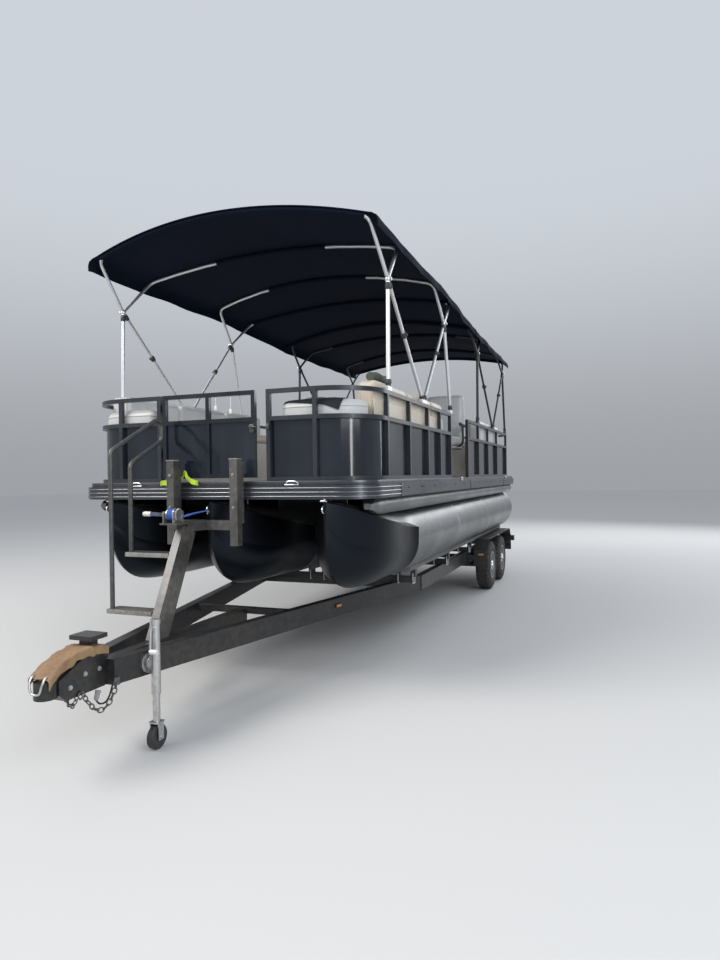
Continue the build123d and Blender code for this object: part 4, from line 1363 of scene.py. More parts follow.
@dataclass
class TopFittings:
    """Hinge feet, jaw slides and pivot knuckles of both soft tops."""

    def build(self) -> None:
        """Add the fittings of both tops."""
        self.fittings("front", ((-0.500, 3.140, (-0.475, -1.445)), (-2.310, 3.180, (-2.540, -1.495))))
        self.fittings("rear", ((-4.100, 3.180, (-4.060, -5.160)), (-6.140, 3.210, (-6.330, -5.210))))

    def fittings(self, name: str, joints: Sequence[tuple[float, float, tuple[float, float]]]) -> None:
        """Fittings of one top on both sides of the boat.

        Args:
            name: Which top.
            joints: Station and height of each knuckle, and the stations of its two feet.
        """
        black, bright = [], []
        for sign in SIDES:
            width = sign * 1.256
            for station, height, feet in joints:
                knuckle = spot((station, width, height))
                bright.append(turned(knuckle + Vector((0.0, sign * 0.0225, 0.0)), (0.0, sign, 0.0),
                                     [(0.015, 0.0), (0.015, 0.006), (0.009, 0.010), (0.001, 0.0105)],
                                     sides=20))
                for foot in feet:
                    base = spot((foot, width, 2.307))
                    run = (knuckle - base).normalized()
                    radius = 0.0166 if foot == feet[0] else 0.0146
                    black += [self.collar(base + run * 0.012, run, radius + 0.0035, 0.052),
                              self.collar(knuckle - run * 0.082, run, radius + 0.0035, 0.055)]
                    black.append(hex_head(base + run * 0.036 + Vector((0.0, sign * radius, 0.0)),
                                          (0.0, sign, 0.0), 0.0070, 0.009))
                    if foot != feet[0]:
                        clamp = base + run * ((knuckle - base).length * 0.56)
                        black.append(self.collar(clamp, run, radius + 0.0075, 0.048))
                        black.append(dome_head(clamp + run * 0.024 + Vector((0.0, sign * 0.022, 0.0)),
                                               (0.0, sign, 0.0), 0.012, 0.014, 16))
                    for off in (-0.030, 0.030):
                        bright.append(dome_head(spot((foot + off, width, 2.3172)), UP, 0.006, 0.004))
        assemble(black, f"top_{name}_slides", GRIP_PLASTIC)
        assemble(bright, f"top_{name}_pins", CHROME)

    def collar(self, base: Vector, along: Vector, radius: float, tall: float) -> Piece:
        """A moulded collar round a pole.

        Args:
            base: Where it starts.
            along: The pole's direction.
            radius: Its radius.
            tall: Its length.

        Returns:
            The collar.
        """
        return turned(base, along, [(radius - 0.003, 0.0), (radius, 0.002), (radius, tall * 0.3),
                                    (radius + 0.002, tall * 0.36), (radius + 0.002, tall * 0.64),
                                    (radius, tall * 0.7), (radius, tall - 0.002), (radius - 0.003, tall)],
                      sides=20)


@dataclass
class Tubes:
    """Weld seams, keels, bow eyes, end plates and drain plugs of the three tubes."""

    centre_height: float = 1.0775
    radius: float = 0.3175

    def build(self) -> None:
        """Add the tubes' seams and eyes."""
        self.seams()
        self.keels()
        self.eyes()
        self.plugs()

    def seams(self) -> None:
        """Raised weld beads round the tubes, stopped short of the side bodies above."""
        beads = []
        for width in TUBE_WIDTHS:
            for station in (-2.90, -4.70, -6.30):
                line = []
                for index in range(49):
                    turn = math.radians(-238.0 + index * 296.0 / 48.0)
                    line.append((at(station), width + self.radius * math.cos(turn),
                                 self.centre_height + self.radius * math.sin(turn)))
                beads.append(pipe(line, 0.0032, "bead", smooth=False, round_steps=1))
        assemble(beads, "tube_weld_beads", MILL_METAL)

    def keels(self) -> None:
        """Wear strips under the tubes between the bunks."""
        low = self.centre_height - self.radius - 0.003
        parts = [slab((at(-3.95), width, low), (5.30, 0.030, 0.010), 0.003) for width in TUBE_WIDTHS]
        assemble(parts, "tube_keels", MILL_METAL)

    def eyes(self) -> None:
        """Bow eyes on the noses, and a plate with a stud above each outer one."""
        parts = []
        outline = ((0.020, 1.422), (0.072, 1.424), (0.094, 1.402), (0.072, 1.378), (0.012, 1.376))
        for width in TUBE_WIDTHS:
            line = smooth_line([spot((station, width, height)) for station, height in outline], 6)
            parts.append(pipe(line, 0.0058, "eye", False))
        for side in SIDES:
            parts.append(slab((at(0.035), side * 0.945, 1.462), (0.070, 0.052, 0.010), 0.003))
            parts.append(turned((at(0.050), side * 0.945, 1.4665), UP,
                                [(0.011, 0.0), (0.011, 0.014), (0.007, 0.018), (0.001, 0.0185)], sides=14))
        assemble(parts, "bow_eyes", CHROME)

    def plugs(self) -> None:
        """End plates with their rolled rim and the drain plugs of the outer tubes."""
        parts = []
        for width in (-0.945, 0.945):
            parts.append(turned((at(-6.9795), width, self.centre_height), AFT,
                                [(0.316, 0.0), (0.316, 0.004), (0.306, 0.010), (0.296, 0.006), (0.200, 0.004),
                                 (0.001, 0.0035)], sides=64))
            parts.append(hex_head((at(-6.983), width, self.centre_height - 0.270), AFT, 0.014, 0.014))
        assemble(parts, "tube_end_plates", TUBE_METAL_PAINTED_REFLECTION)


@dataclass
class Helm:
    """Windscreen, gauges, switches, throttle and wheel trim of the helm."""

    width: float = -0.860

    def build(self) -> None:
        """Add the helm's fittings."""
        self.screen()
        self.dash()
        self.throttle()
        self.wheel()

    def screen(self) -> None:
        """The smoked screen that follows the console's top edge."""
        def point(across: float, along: float) -> Vector:
            """Find a point of the screen.

            Args:
                across: From -1 to 1 across it.
                along: From -1 to 1 up it.

            Returns:
                The point in the shared frame.
            """
            up = (along + 1.0) / 2.0
            bow = 0.050 * (1.0 - across ** 2)
            low_edge = 2.520 - 0.030 * across ** 4
            return Vector((at(-3.700 + bow - 0.085 * up), self.width + across * (0.255 - 0.020 * up),
                           low_edge + up * (0.185 - 0.035 * across ** 4)))

        screen = shaped_grid("helm_screen", 24, 6, point, 0.005, degrees=40.0)
        finish_piece(screen, SMOKED_SCREEN)

    def dash(self) -> None:
        """Gauges, switch row and the mat on top of the dash."""
        lean = Vector((-0.870, 0.0, 0.492)).normalized()

        def face(width: float, share: float, lift: float) -> Vector:
            """Find a point of the dash, a share of the way up it and lifted off it."""
            return spot((-4.090 + 0.130 * share, width, 2.240 + 0.230 * share)) + lean * lift

        bezels, faces = [], []
        for width, share, radius in ((-0.700, 0.62, 0.042), (-1.020, 0.62, 0.042), (-0.780, 0.84, 0.028),
                                     (-0.940, 0.84, 0.028)):
            base = face(width, share, 0.0006)
            bezels.append(turned(base, lean, [(radius + 0.006, 0.0), (radius + 0.005, 0.008), (radius, 0.010),
                                              (radius - 0.003, 0.006)], sides=32, cap=False))
            faces.append(turned(base, lean, [(radius, 0.001), (radius, 0.0045), (0.006, 0.005),
                                             (0.005, 0.0075), (0.001, 0.008)], sides=32))
        assemble(bezels, "gauge_bezels", CHROME)
        assemble(faces, "gauge_faces", GRIP_PLASTIC)
        keys = [slab(face(-0.985 + index * 0.050, 0.28, 0.003), (0.010, 0.026, 0.042), 0.002,
                     (0.0, -0.514, 0.0)) for index in range(6)]
        assemble(keys, "switch_row", BLACK_RUBBER)
        mat = slab((at(-3.830), self.width, 2.5195), (0.200, 0.300, 0.006), 0.002, (0.0, -0.333, 0.0))
        assemble([mat], "dash_mat", DARK_VINYL)

    def throttle(self) -> None:
        """Control box and lever on the console's starboard side."""
        box = [slab((at(-3.960), -1.172, 2.260), (0.150, 0.022, 0.170), 0.008, segments=3),
               turned((at(-3.960), -1.182, 2.280), STARBOARD,
                      [(0.030, 0.0), (0.028, 0.010), (0.001, 0.011)], sides=24),
               bar_between((at(-3.960), -1.189, 2.280), (at(-3.900), -1.196, 2.440), 0.0075, 14)]
        assemble(box, "throttle_box", GRIP_PLASTIC)
        knob = turned((at(-3.900), -1.212, 2.448), PORT,
                      [(0.010, 0.0), (0.019, 0.004), (0.020, 0.020), (0.019, 0.044), (0.011, 0.050),
                       (0.001, 0.0505)], sides=24)
        assemble([knob], "throttle_knob", BLACK_RUBBER)

    def wheel(self) -> None:
        """Hub cap of the steering wheel."""
        axis = Vector((-160.0, 0.0, 90.0)).normalized()
        hub = Vector((at(-4.150), self.width, 2.40875)) + axis * 0.0125
        cap = turned(hub, axis, [(0.040, 0.0), (0.042, 0.004), (0.036, 0.014), (0.020, 0.018),
                                 (0.001, 0.0185)], sides=32)
        assemble([cap], "wheel_cap", CHROME, "steering_wheel")


@dataclass
class MotorTrim:
    """Cowl band with air slots, stripes, leg bolts, intakes, anode and curved propeller blades."""

    def build(self) -> None:
        """Add the motor's trim."""
        self.cowl()
        self.leg()
        self.blades()

    def cowl(self) -> None:
        """The seam band, the air slots and the stripes of the cowl."""
        band = rounded_band("cowl_band", (at(-7.730), 0.0, 1.640), (0.524, 0.384), (0.116, 10), 0.010,
                            0.012, 0.002)
        slots = []
        for side in SIDES:
            for index in range(5):
                centre = (at(-7.905 + 0.004 * index), side * (0.193 - 0.0045 * index), 1.790 + index * 0.018)
                slots.append(slab(centre, (0.085, 0.008, 0.007), 0.002))
        assemble([band, *slots], "cowl_band", GRIP_PLASTIC, "outboard_motor")
        stripe = [slab((at(-7.740), side * 0.1945, 1.735), (0.300, 0.005, 0.016), 0.002) for side in SIDES]
        assemble(stripe, "cowl_stripe", STEP_PAINT, "outboard_motor")

    def leg(self) -> None:
        """Bolts, water intakes and the anode of the motor's leg."""
        parts = []
        for side in SIDES:
            for index in range(4):
                parts.append(hex_head((at(-7.640 - index * 0.060), side * 0.0752, 0.992), (0.0, side, 0.0),
                                      0.006, 0.007))
                parts.append(slab((at(-7.690), side * 0.0246, 0.700 + index * 0.016), (0.060, 0.003, 0.005),
                                  0.001))
        parts.append(slab((at(-7.905), 0.0, 0.7720), (0.075, 0.045, 0.016), 0.004, segments=3))
        assemble(parts, "leg_bolts", ZINC, "outboard_motor")

    def blades(self) -> None:
        """Three cupped blades and the ringed hub of the propeller."""
        blade = self.blade()
        parts = [copy_of(blade, placed(-7.958, 0.0, 0.600, index * math.tau / 3, "X")) for index in range(3)]
        bpy.data.objects.remove(blade)
        parts.append(turned((at(-7.9065), 0.0, 0.600), AFT,
                            [(0.0475, 0.0), (0.0490, 0.006), (0.0470, 0.060), (0.0460, 0.090),
                             (0.0500, 0.1105), (0.0440, 0.1110), (0.0400, 0.080), (0.0200, 0.078),
                             (0.0190, 0.090), (0.0125, 0.0905)], sides=48, cap=False))
        finish_piece(join(parts, "propeller_blades"), PROP_METAL, "outboard_propeller",
                     ["outboard_propeller"])

    def blade(self) -> Piece:
        """One blade of rounded outline, twisted and cupped.

        Returns:
            The blade.
        """
        def point(across: float, along: float) -> Vector:
            """Find a point of the blade.

            Args:
                across: From -1 to 1 across it.
                along: From -1 at the hub to 1 at the tip.

            Returns:
                The point about the shaft.
            """
            out = (along + 1.0) / 2.0
            reach = 0.040 + 0.131 * out
            outline = math.sin(min(out * 1.25 + 0.22, 1.0) * math.pi / 2) * math.sqrt(max(1 - out ** 5, 0.0))
            chord = across * (0.030 + 0.052 * outline) + 0.020 * out
            pitch = math.atan2(0.058, reach)
            turn = chord * math.cos(pitch) / reach
            return Vector((chord * math.sin(pitch) * 0.9 - 0.012 * across ** 2 * out, reach * math.sin(turn),
                           reach * math.cos(turn)))

        return shaped_grid("blade", 18, 14, point, 0.0062, degrees=45.0)


@dataclass
class RoadWheels:
    """Tyres with tread and sidewall ribs, lug nuts and hub caps."""

    radius: float = 0.343
    inner: float = 1.035
    outer: float = 1.240

    def build(self) -> None:
        """Dress all four wheels."""
        tyre = self.tyre()
        fittings = self.fittings()
        for which, station in (("front", -5.200), ("rear", -6.100)):
            for side, sign in (("port", 1.0), ("starboard", -1.0)):
                place = placed(station, 0.0, self.radius, 0.0 if sign > 0 else math.pi)
                wheel = f"{which}_{side}"
                made = copy_of(tyre, place)
                made.name = f"road_tyre_{wheel}"
                finish_piece(made, TYRE_RUBBER, f"wheel_{wheel}", [f"tyre_{wheel}"])
                assemble([copy_of(fittings, place)], f"lug_nuts_{wheel}", CHROME, f"wheel_{wheel}")
        for spare in (tyre, fittings):
            bpy.data.objects.remove(spare)

    def tyre(self) -> Piece:
        """One tyre about the Y axis, with grooves and shoulder blocks.

        Returns:
            The tyre.
        """
        low, high, top = self.inner, self.outer, self.radius
        wall = [(0.1903, 0.022), (0.196, 0.012), (0.215, 0.006), (0.235, 0.0015), (0.237, 0.0),
                (0.262, 0.0005), (0.264, 0.002), (0.300, 0.008), (0.325, 0.020), (top - 0.005, 0.034),
                (top - 0.001, 0.048)]
        profile = [(radius, low + depth) for radius, depth in wall]
        for groove in (0.065, 0.1025, 0.140):
            profile += [(top - 0.0005, low + groove - 0.0052), (top - 0.0075, low + groove - 0.0032),
                        (top - 0.0075, low + groove + 0.0032), (top - 0.0005, low + groove + 0.0052)]
        profile += [(radius, high - depth) for radius, depth in reversed(wall)]
        profile.append(profile[0])
        tyre = turned(ORIGIN, PORT, profile, sides=96, cap=False)
        tyre.name = "tyre_pattern"

        def shoulder(centre: Vector, normal: Vector) -> bool:
            """Tell whether a face lies in a gap between shoulder blocks.

            Args:
                centre: The face's centre.
                normal: Its normal, which isn't needed.

            Returns:
                True in a gap.
            """
            height = math.hypot(centre.x, centre.z)
            step = int(round((math.atan2(centre.z, centre.x) / (2 * math.pi) * 96) - 0.5))
            near = min(abs(centre.y - low), abs(centre.y - high))
            return step % 3 == 0 and 0.018 < near < 0.062 and height > 0.322

        if pick_faces(tyre, shoulder):
            bpy.ops.mesh.inset(thickness=0.0024, use_individual=False)
            bpy.ops.transform.shrink_fatten(value=-0.0055)
        bpy.ops.object.mode_set(mode="OBJECT")
        return fix_normals(tyre)

    def fittings(self) -> Piece:
        """Lug nuts, hub cap and valve of one wheel about the Y axis.

        Returns:
            The joined fittings.
        """
        face = self.outer - 0.0320
        nut = turned((0.057, face, 0.0), PORT,
                     [(0.011, 0.0), (0.011, 0.010), (0.0095, 0.017), (0.006, 0.021), (0.001, 0.0225)],
                     sides=6)
        parts = [copy_of(nut, Matrix.Rotation(index * math.tau / 5, 4, "Y")) for index in range(5)]
        bpy.data.objects.remove(nut)
        parts.append(turned((0.0, self.outer - 0.0226, 0.0), PORT,
                            [(0.034, 0.0), (0.034, 0.010), (0.030, 0.017), (0.018, 0.021), (0.0175, 0.0225),
                             (0.001, 0.0235)], sides=28))
        parts.append(turned((0.150, face, 0.06), (0.25, 1.0, 0.1),
                            [(0.004, 0.0), (0.004, 0.020), (0.003, 0.024)], sides=8))
        return join(parts, "lug_pattern")


@dataclass
class TrailerFittings:
    """Lamps, coupler trim, chains, wiring, winch gear, bow stop caps, bolts, jack trim and step plates."""

    rail_turn: float = 0.2325
    winch_station: float = 0.500
    winch_height: float = 1.385

    def build(self) -> None:
        """Add every fitting."""
        self.lamps()
        self.coupler()
        self.chains()
        self.winch()
        self.stops()
        self.bunk_bolts()
        self.jack()
        self.treads()

    def lamps(self) -> None:
        """Rear lamps on the back beam, and amber markers on the mudguards and tongue rails."""
        red, amber, base = [], [], []
        for sign in SIDES:
            base.append(slab((at(-7.203), sign * 1.16, 0.550), (0.012, 0.215, 0.088), 0.004))
            red.append(slab((at(-7.2165), sign * 1.16, 0.550), (0.033, 0.205, 0.080), 0.010, segments=3))
            base.append(slab((at(-4.5585), sign * 1.18, 0.560), (0.005, 0.080, 0.034), 0.001))
            amber.append(slab((at(-4.5530), sign * 1.18, 0.560), (0.012, 0.070, 0.026), 0.005, segments=3))
            turn = (0.0, 0.0, -sign * self.rail_turn)
            base.append(slab((at(-0.900), sign * 0.6365, 0.530), (0.075, 0.008, 0.032), 0.002, turn))
            amber.append(slab((at(-0.900), sign * 0.6435, 0.530), (0.064, 0.012, 0.024), 0.005, turn, 3))
        for number in (-1, 0, 1):
            red.append(slab((at(-7.209), number * 0.10, 0.548), (0.022, 0.062, 0.022), 0.005, segments=3))
        assemble(red, "red_lamps", RED_LENS)
        assemble(amber, "amber_markers", AMBER_LENS)
        assemble(base, "lamp_backs", BLACK_RUBBER)

    def coupler(self) -> None:
        """Latch bail, pin, bolts, filler cap and worn cover of the coupler."""
        half = ((1.600, 0.046, 0.586), (1.655, 0.046, 0.596), (1.684, 0.044, 0.560), (1.688, 0.026, 0.514))
        line = [(at(station), -width, height) for station, width, height in half]
        line += [spot(mark) for mark in reversed(half)]
        steel = [pipe(smooth_line(line, 5), 0.0062, "bail", False),
                 bar_between((at(1.602), -0.056, 0.586), (at(1.602), 0.056, 0.586), 0.0075, 16),
                 slab((at(1.560), 0.0, 0.588), (0.075, 0.050, 0.030), 0.008, (0.0, 0.42, 0.0))]
        for station, height in ((1.290, 0.545), (1.400, 0.545), (1.510, 0.500)):
            for sign in SIDES:
                steel.append(hex_head((at(station), sign * 0.0618, height), (0.0, sign, 0.0), 0.0115, 0.011))
        assemble(steel, "coupler_latch", ZINC)
        cap = turned((at(1.215), 0.030, 0.589), UP,
                     [(0.020, 0.0), (0.020, 0.010), (0.016, 0.014), (0.001, 0.0145)], sides=20)
        assemble([cap], "brake_fluid_cap", BLACK_RUBBER)
        finish_piece(self.worn_cover(), WORN_TAN)

    def worn_cover(self) -> Piece:
        """The weathered tan cover that lies over the sloping case.

        Returns:
            The cover.
        """
        ridge = [(1.236, 0.671), (1.280, 0.683), (1.380, 0.690), (1.480, 0.676), (1.570, 0.648),
                 (1.640, 0.606), (1.664, 0.584)]

        def point(along: float, across: float) -> Vector:
            """Find a point of the cover.

            Args:
                along: From -1 at the back to 1 at the front.
                across: From -1 to 1 across it.

            Returns:
                The point in the shared frame.
            """
            share = (along + 1.0) / 2.0 * (len(ridge) - 1)
            step = min(int(share), len(ridge) - 2)
            part = share - step
            station = ridge[step][0] + (ridge[step + 1][0] - ridge[step][0]) * part
            height = ridge[step][1] + (ridge[step + 1][1] - ridge[step][1]) * part
            lump = noise.noise(Vector((station * 26.0, across * 2.6, 1.0)))
            fray = noise.noise(Vector((station * 90.0, across * 9.0, 4.0)))
            flare = min(max((1.440 - station) / 0.080, 0.0), 1.0)
            wide = 0.074 + 0.012 * flare + 0.007 * lump
            side = math.sin(max(min(across * 1.25, 1.0), -1.0) * math.pi / 2)
            fall = max(abs(across) - 0.55, 0.0) / 0.45
            return Vector((at(station), side * wide, height + 0.007 * lump + 0.0035 * fray
                           - (0.050 + 0.018 * lump) * fall ** 1.4))

        return shaped_grid("coupler_cover", 64, 36, point, 0.006, -1.0)

    def chain(self, points: Sequence[Vector], wire: float, pitch: float) -> list[Piece]:
        """Oval links along a line, each turned a quarter from the last.

        Args:
            points: Where the chain runs.
            wire: Half the wire's thickness.
            pitch: Length that sets the links' size and spacing.

        Returns:
            The links.
        """
        bpy.ops.object.select_all(action="DESELECT")
        bpy.ops.mesh.primitive_torus_add(major_radius=pitch * 0.56, minor_radius=wire, major_segments=18,
                                         minor_segments=8)
        link = bpy.context.object
        link.scale = (1.35, 0.92, 1.0)
        settle(link)
        bpy.ops.object.shade_smooth()
        made, walked, number = [], 0.0, 0
        for start, end in zip(points, points[1:]):
            run = (end - start).length
            while walked <= run:
                here = start.lerp(end, walked / run)
                turn = (end - start).to_track_quat("X", "Z").to_matrix().to_4x4()
                roll = Matrix.Rotation(math.pi / 2 * (number % 2) + 0.35, 4, "X")
                made.append(copy_of(link, Matrix.Translation(here) @ turn @ roll))
                walked += pitch * 1.30
                number += 1
            walked -= run
        bpy.data.objects.remove(link)
        return made

    def chains(self) -> None:
        """Two safety chains looped under the coupler, and the wiring lead."""
        links = []
        for sign in SIDES:
            line = []
            for index in range(15):
                share = index / 14
                line.append(Vector((at(1.238 + 0.190 * share), sign * (0.136 - 0.066 * share),
                                    0.440 - 0.118 * 4.0 * share * (1.0 - share) * (1.15 - 0.3 * share))))
            links += self.chain(line, 0.0040, 0.025)
            links.append(slab((at(1.232), sign * 0.136, 0.462), (0.046, 0.014, 0.050), 0.004))
            bend = [line[-1] + Vector((step, 0.0, rise)) for step, rise in
                    ((-0.004, -0.014), (0.020, -0.022), (0.034, -0.002), (0.020, 0.014), (0.002, 0.006))]
            links.append(pipe(smooth_line(bend, 5), 0.0048, "hook", False))
        assemble(links, "safety_chains", CHAIN_METAL)
        run = smooth_line([(at(1.10), 0.0, 0.439), (at(1.135), 0.015, 0.394), (at(1.19), 0.040, 0.350),
                           (at(1.25), 0.062, 0.335), (at(1.31), 0.076, 0.350), (at(1.342), 0.082, 0.382)], 8)
        lead = pipe(run, 0.0055, "wiring_lead", smooth=False, round_steps=2)
        plug = turned(run[-1] - Vector((0.0, 0.0, 0.004)), (-0.30, 0.05, 1.0),
                      [(0.008, 0.0), (0.0125, 0.006), (0.014, 0.020), (0.014, 0.042), (0.0165, 0.043),
                       (0.0165, 0.056), (0.0135, 0.057), (0.0135, 0.048), (0.001, 0.047)], sides=20)
        finish_piece(lead, BLACK_RUBBER)
        assemble([plug], "lead_plug", CAP_PLASTIC)
        length = sum((end - start).length for start, end in zip(run, run[1:]))
        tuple(run[0])

    def winch(self) -> None:
        """Strap and its coil, gear, hook, bolts and crank grip of the winch."""
        line = [(0.478, 1.352), (0.400, 1.365), (0.300, 1.378), (0.180, 1.388), (0.112, 1.392)]
        finish_piece(self.strap(line, 0.048), BLUE_WEB)
        coil = turned((at(self.winch_station), -0.0235, self.winch_height), PORT,
                      [(0.0345, 0.0), (0.0425, 0.001), (0.0435, 0.004), (0.0435, 0.043), (0.0425, 0.046),
                       (0.0345, 0.047)], sides=40)
        assemble([coil], "winch_coil", BLUE_WEB)
        gear = turned((at(self.winch_station), 0.0440, self.winch_height), PORT,
                      [(0.012, 0.0), (0.040, 0.0), (0.040, 0.008), (0.030, 0.008), (0.030, 0.0065),
                       (0.012, 0.0065)], sides=48)

        def tooth(centre: Vector, normal: Vector) -> bool:
            """Tell whether a face of the gear's rim becomes a tooth.

            Args:
                centre: The face's centre.
                normal: Its normal.

            Returns:
                True for a tooth.
            """
            away = Vector((centre.x - at(self.winch_station), 0.0, centre.z - self.winch_height))
            step = int(round(math.atan2(away.z, away.x) / (2 * math.pi) * 48 - 0.5))
            return step % 2 == 0 and away.length > 0.0395 and abs(normal.y) < 0.3

        if pick_faces(gear, tooth):
            bpy.ops.mesh.extrude_region_shrink_fatten(TRANSFORM_OT_shrink_fatten={"value": 0.004})
        bpy.ops.object.mode_set(mode="OBJECT")
        hook = pipe([(at(0.112), 0.0, 1.392), (at(0.092), 0.0, 1.402), (at(0.070), 0.0, 1.394),
                     (at(0.072), 0.0, 1.374), (at(0.088), 0.0, 1.370)], 0.0055, "hook")
        steel = [fix_normals(gear), hook]
        for height in (1.345, 1.398):
            for station in (0.455, 0.545):
                steel.append(turned((at(station), 0.0428, height), PORT,
                                    [(0.008, 0.0), (0.008, 0.006), (0.002, 0.0065)], sides=6))
        assemble(steel, "winch_gear", ZINC)
        grip = turned((at(0.655), -0.068, 1.400), (0.0, -1.0, 0.0),
                      [(0.0145, 0.0), (0.0175, 0.004), (0.0160, 0.016), (0.0175, 0.030), (0.0165, 0.046),
                       (0.0145, 0.054), (0.0142, 0.0545)], sides=24)
        assemble([grip], "winch_grip", PALE_KNOB)

    def strap(self, line: Sequence[tuple[float, float]], wide: float) -> Piece:
        """A flat strap that runs along stations and heights at the middle of the boat.

        Args:
            line: (station, height) of each bend.
            wide: The webbing's width.

        Returns:
            The strap.
        """
        clear_selection()
        bpy.ops.mesh.primitive_plane_add(size=1.0)
        made = bpy.context.object
        made.scale = (0.0005, wide, 1.0)
        made.location = (at(line[0][0]), 0.0, line[0][1])
        settle(made, "winch_strap")
        for (station, height), (next_station, next_height) in zip(line, line[1:]):
            edit_mesh(made, "DESELECT")
            bpy.ops.mesh.select_mode(type="VERT")
            mesh = bmesh.from_edit_mesh(made.data)
            low = min(vertex.co.x for vertex in mesh.verts)
            for vertex in mesh.verts:
                if vertex.co.x < low + 1e-5:
                    vertex.select_set(True)
            mesh.select_flush(True)
            bmesh.update_edit_mesh(made.data)
            bpy.ops.mesh.extrude_region_move(
                TRANSFORM_OT_translate={"value": (next_station - station, 0.0, next_height - height)})
            bpy.ops.object.mode_set(mode="OBJECT")
        apply_modifier(made, "SOLIDIFY", thickness=0.0025, offset=0.0)
        return fix_normals(made)

    def stops(self) -> None:
        """Worn light caps on the bow stops, their bolts, and a lime strap round the starboard one."""
        caps, bolts = [], []
        for sign in SIDES:
            width = sign * 0.275
            caps.append(slab((at(0.1325), width, 1.7735), (0.072, 0.071, 0.007), 0.002))
            for height in (1.42, 1.66):
                bolts.append(turned((at(0.1648), width, height), AHEAD,
                                    [(0.012, 0.0), (0.012, 0.008), (0.006, 0.0085), (0.006, 0.016)], sides=6))
        assemble(caps, "stop_caps", CAP_PLASTIC)
        assemble(bolts, "stop_bolts", ZINC)
        tail = self.ribbon([(0.052, -0.450, 1.598), (0.0560, -0.415, 1.606), (0.0585, -0.360, 1.600),
                            (0.0600, -0.300, 1.610), (0.0600, -0.250, 1.632), (0.0660, -0.222, 1.668),
                            (0.0800, -0.200, 1.676), (0.0880, -0.176, 1.648), (0.0850, -0.150, 1.620),
                            (0.0770, -0.122, 1.606), (0.0690, -0.092, 1.600)], 0.038, "lime_strap")
        finish_piece(tail, LIME_WEB)

    def ribbon(self, line: Sequence[Point], wide: float, name: str) -> Piece:
        """A soft webbing strap that stands on edge along points of the boat's frame.

        Args:
            line: (station, width, height) of its middle.
            wide: The webbing's width.
            name: The piece's name.

        Returns:
            The finished mesh.
        """
        middle = smooth_line([spot(mark) for mark in line], 6)

        def point(along: float, up: float) -> Vector:
            """Find a point of the webbing.

            Args:
                along: From -1 to 1 along it.
                up: From -1 to 1 up it.

            Returns:
                The point in the shared frame.
            """
            index = round((along + 1.0) / 2.0 * (len(middle) - 1))
            across = up * wide / 2.0
            lean = 0.30 * math.sin(index * 0.45)
            return middle[index] + Vector((lean * across, 0.12 * across, across))

        return shaped_grid(name, len(middle) - 1, 4, point, 0.0022, degrees=50.0)

    def bunk_bolts(self) -> None:
        """Square U bolts round the cross beams where each bunk bracket stands."""
        low, high, off = 0.583, 0.684, 0.036
        parts = []
        for station in (-1.900, -3.300, -4.600, -5.650, -6.850):
            for centre in TUBE_WIDTHS:
                for side in SIDES:
                    width = centre + side * 0.075
                    fore, aft = at(station + off), at(station - off)
                    if abs(width) <= 1.02:
                        for x in (aft, fore):
                            parts.append(bar_between((x, width, low), (x, width, high), 0.0050, 8))
                            parts.append(turned((x, width, 0.664), UP, [(0.0095, 0.0), (0.0095, 0.008),
                                                                        (0.0052, 0.0085)], sides=6))
                    parts.append(bar_between((aft, width, low), (fore, width, low), 0.0050, 8))
        assemble(parts, "bunk_bolts", ZINC)

    def jack(self) -> None:
        """Top cap, bands and crank knob of the jack."""
        fork, mount, aside = 1.220, 0.993, 0.102
        slope = (0.940 - 0.090) / (fork + 2.350 + 0.020)
        turn = math.atan(slope)
        station = mount + aside * math.sin(turn)
        width = 0.090 + slope * (fork - mount) + aside * math.cos(turn)
        head = turned((at(station), width, 0.7798), UP,
                      [(0.030, 0.0), (0.030, 0.006), (0.012, 0.011), (0.001, 0.0115)], sides=28)
        bands = [turned((at(station), width, low), UP, [(0.0283, 0.0), (0.0300, 0.0015), (0.0300, 0.0165),
                                                        (0.0283, 0.018)], sides=28, cap=False)
                 for low in (0.342, 0.700)]
        assemble([head, *bands], "jack_caps", ZINC, "jack_tube")
        knob = turned((at(station + 0.076), width + 0.024, 0.606), PORT,
                      [(0.0135, 0.0), (0.0160, 0.004), (0.0150, 0.020), (0.0160, 0.040), (0.0140, 0.047),
                       (0.001, 0.0475)], sides=20)
        assemble([knob], "jack_knob", PALE_KNOB, "jack_tube")

    def treads(self) -> None:
        """Folded plates over the boarding steps, pale from wear and from painted sunlight on their tops, and
        their grip strips.
        """
        plates = []
        for fore, aft, top in ((0.680, 0.570, 0.742), (0.490, 0.385, 1.112)):
            plates.append(slab(((at(fore) + at(aft)) / 2, -0.240, top + 0.0005), (fore - aft, 0.372, 0.002),
                               0.0006))
            plates.append(slab((at(fore + 0.0006), -0.240, top - 0.0145), (0.002, 0.372, 0.030), 0.0006))
        assemble(plates, "step_plates", WORN_SUNLIT_TREAD_METAL)
        strips = []
        for fore, aft, top in ((0.675, 0.575, 0.742), (0.485, 0.390, 1.112)):
            for index in range(5):
                station = fore + (aft - fore) * index / 4
                strips.append(slab((at(station), -0.240, top + 0.0020), (0.008, 0.352, 0.0035), 0.0012))
        assemble(strips, "step_grips", BLACK_RUBBER)


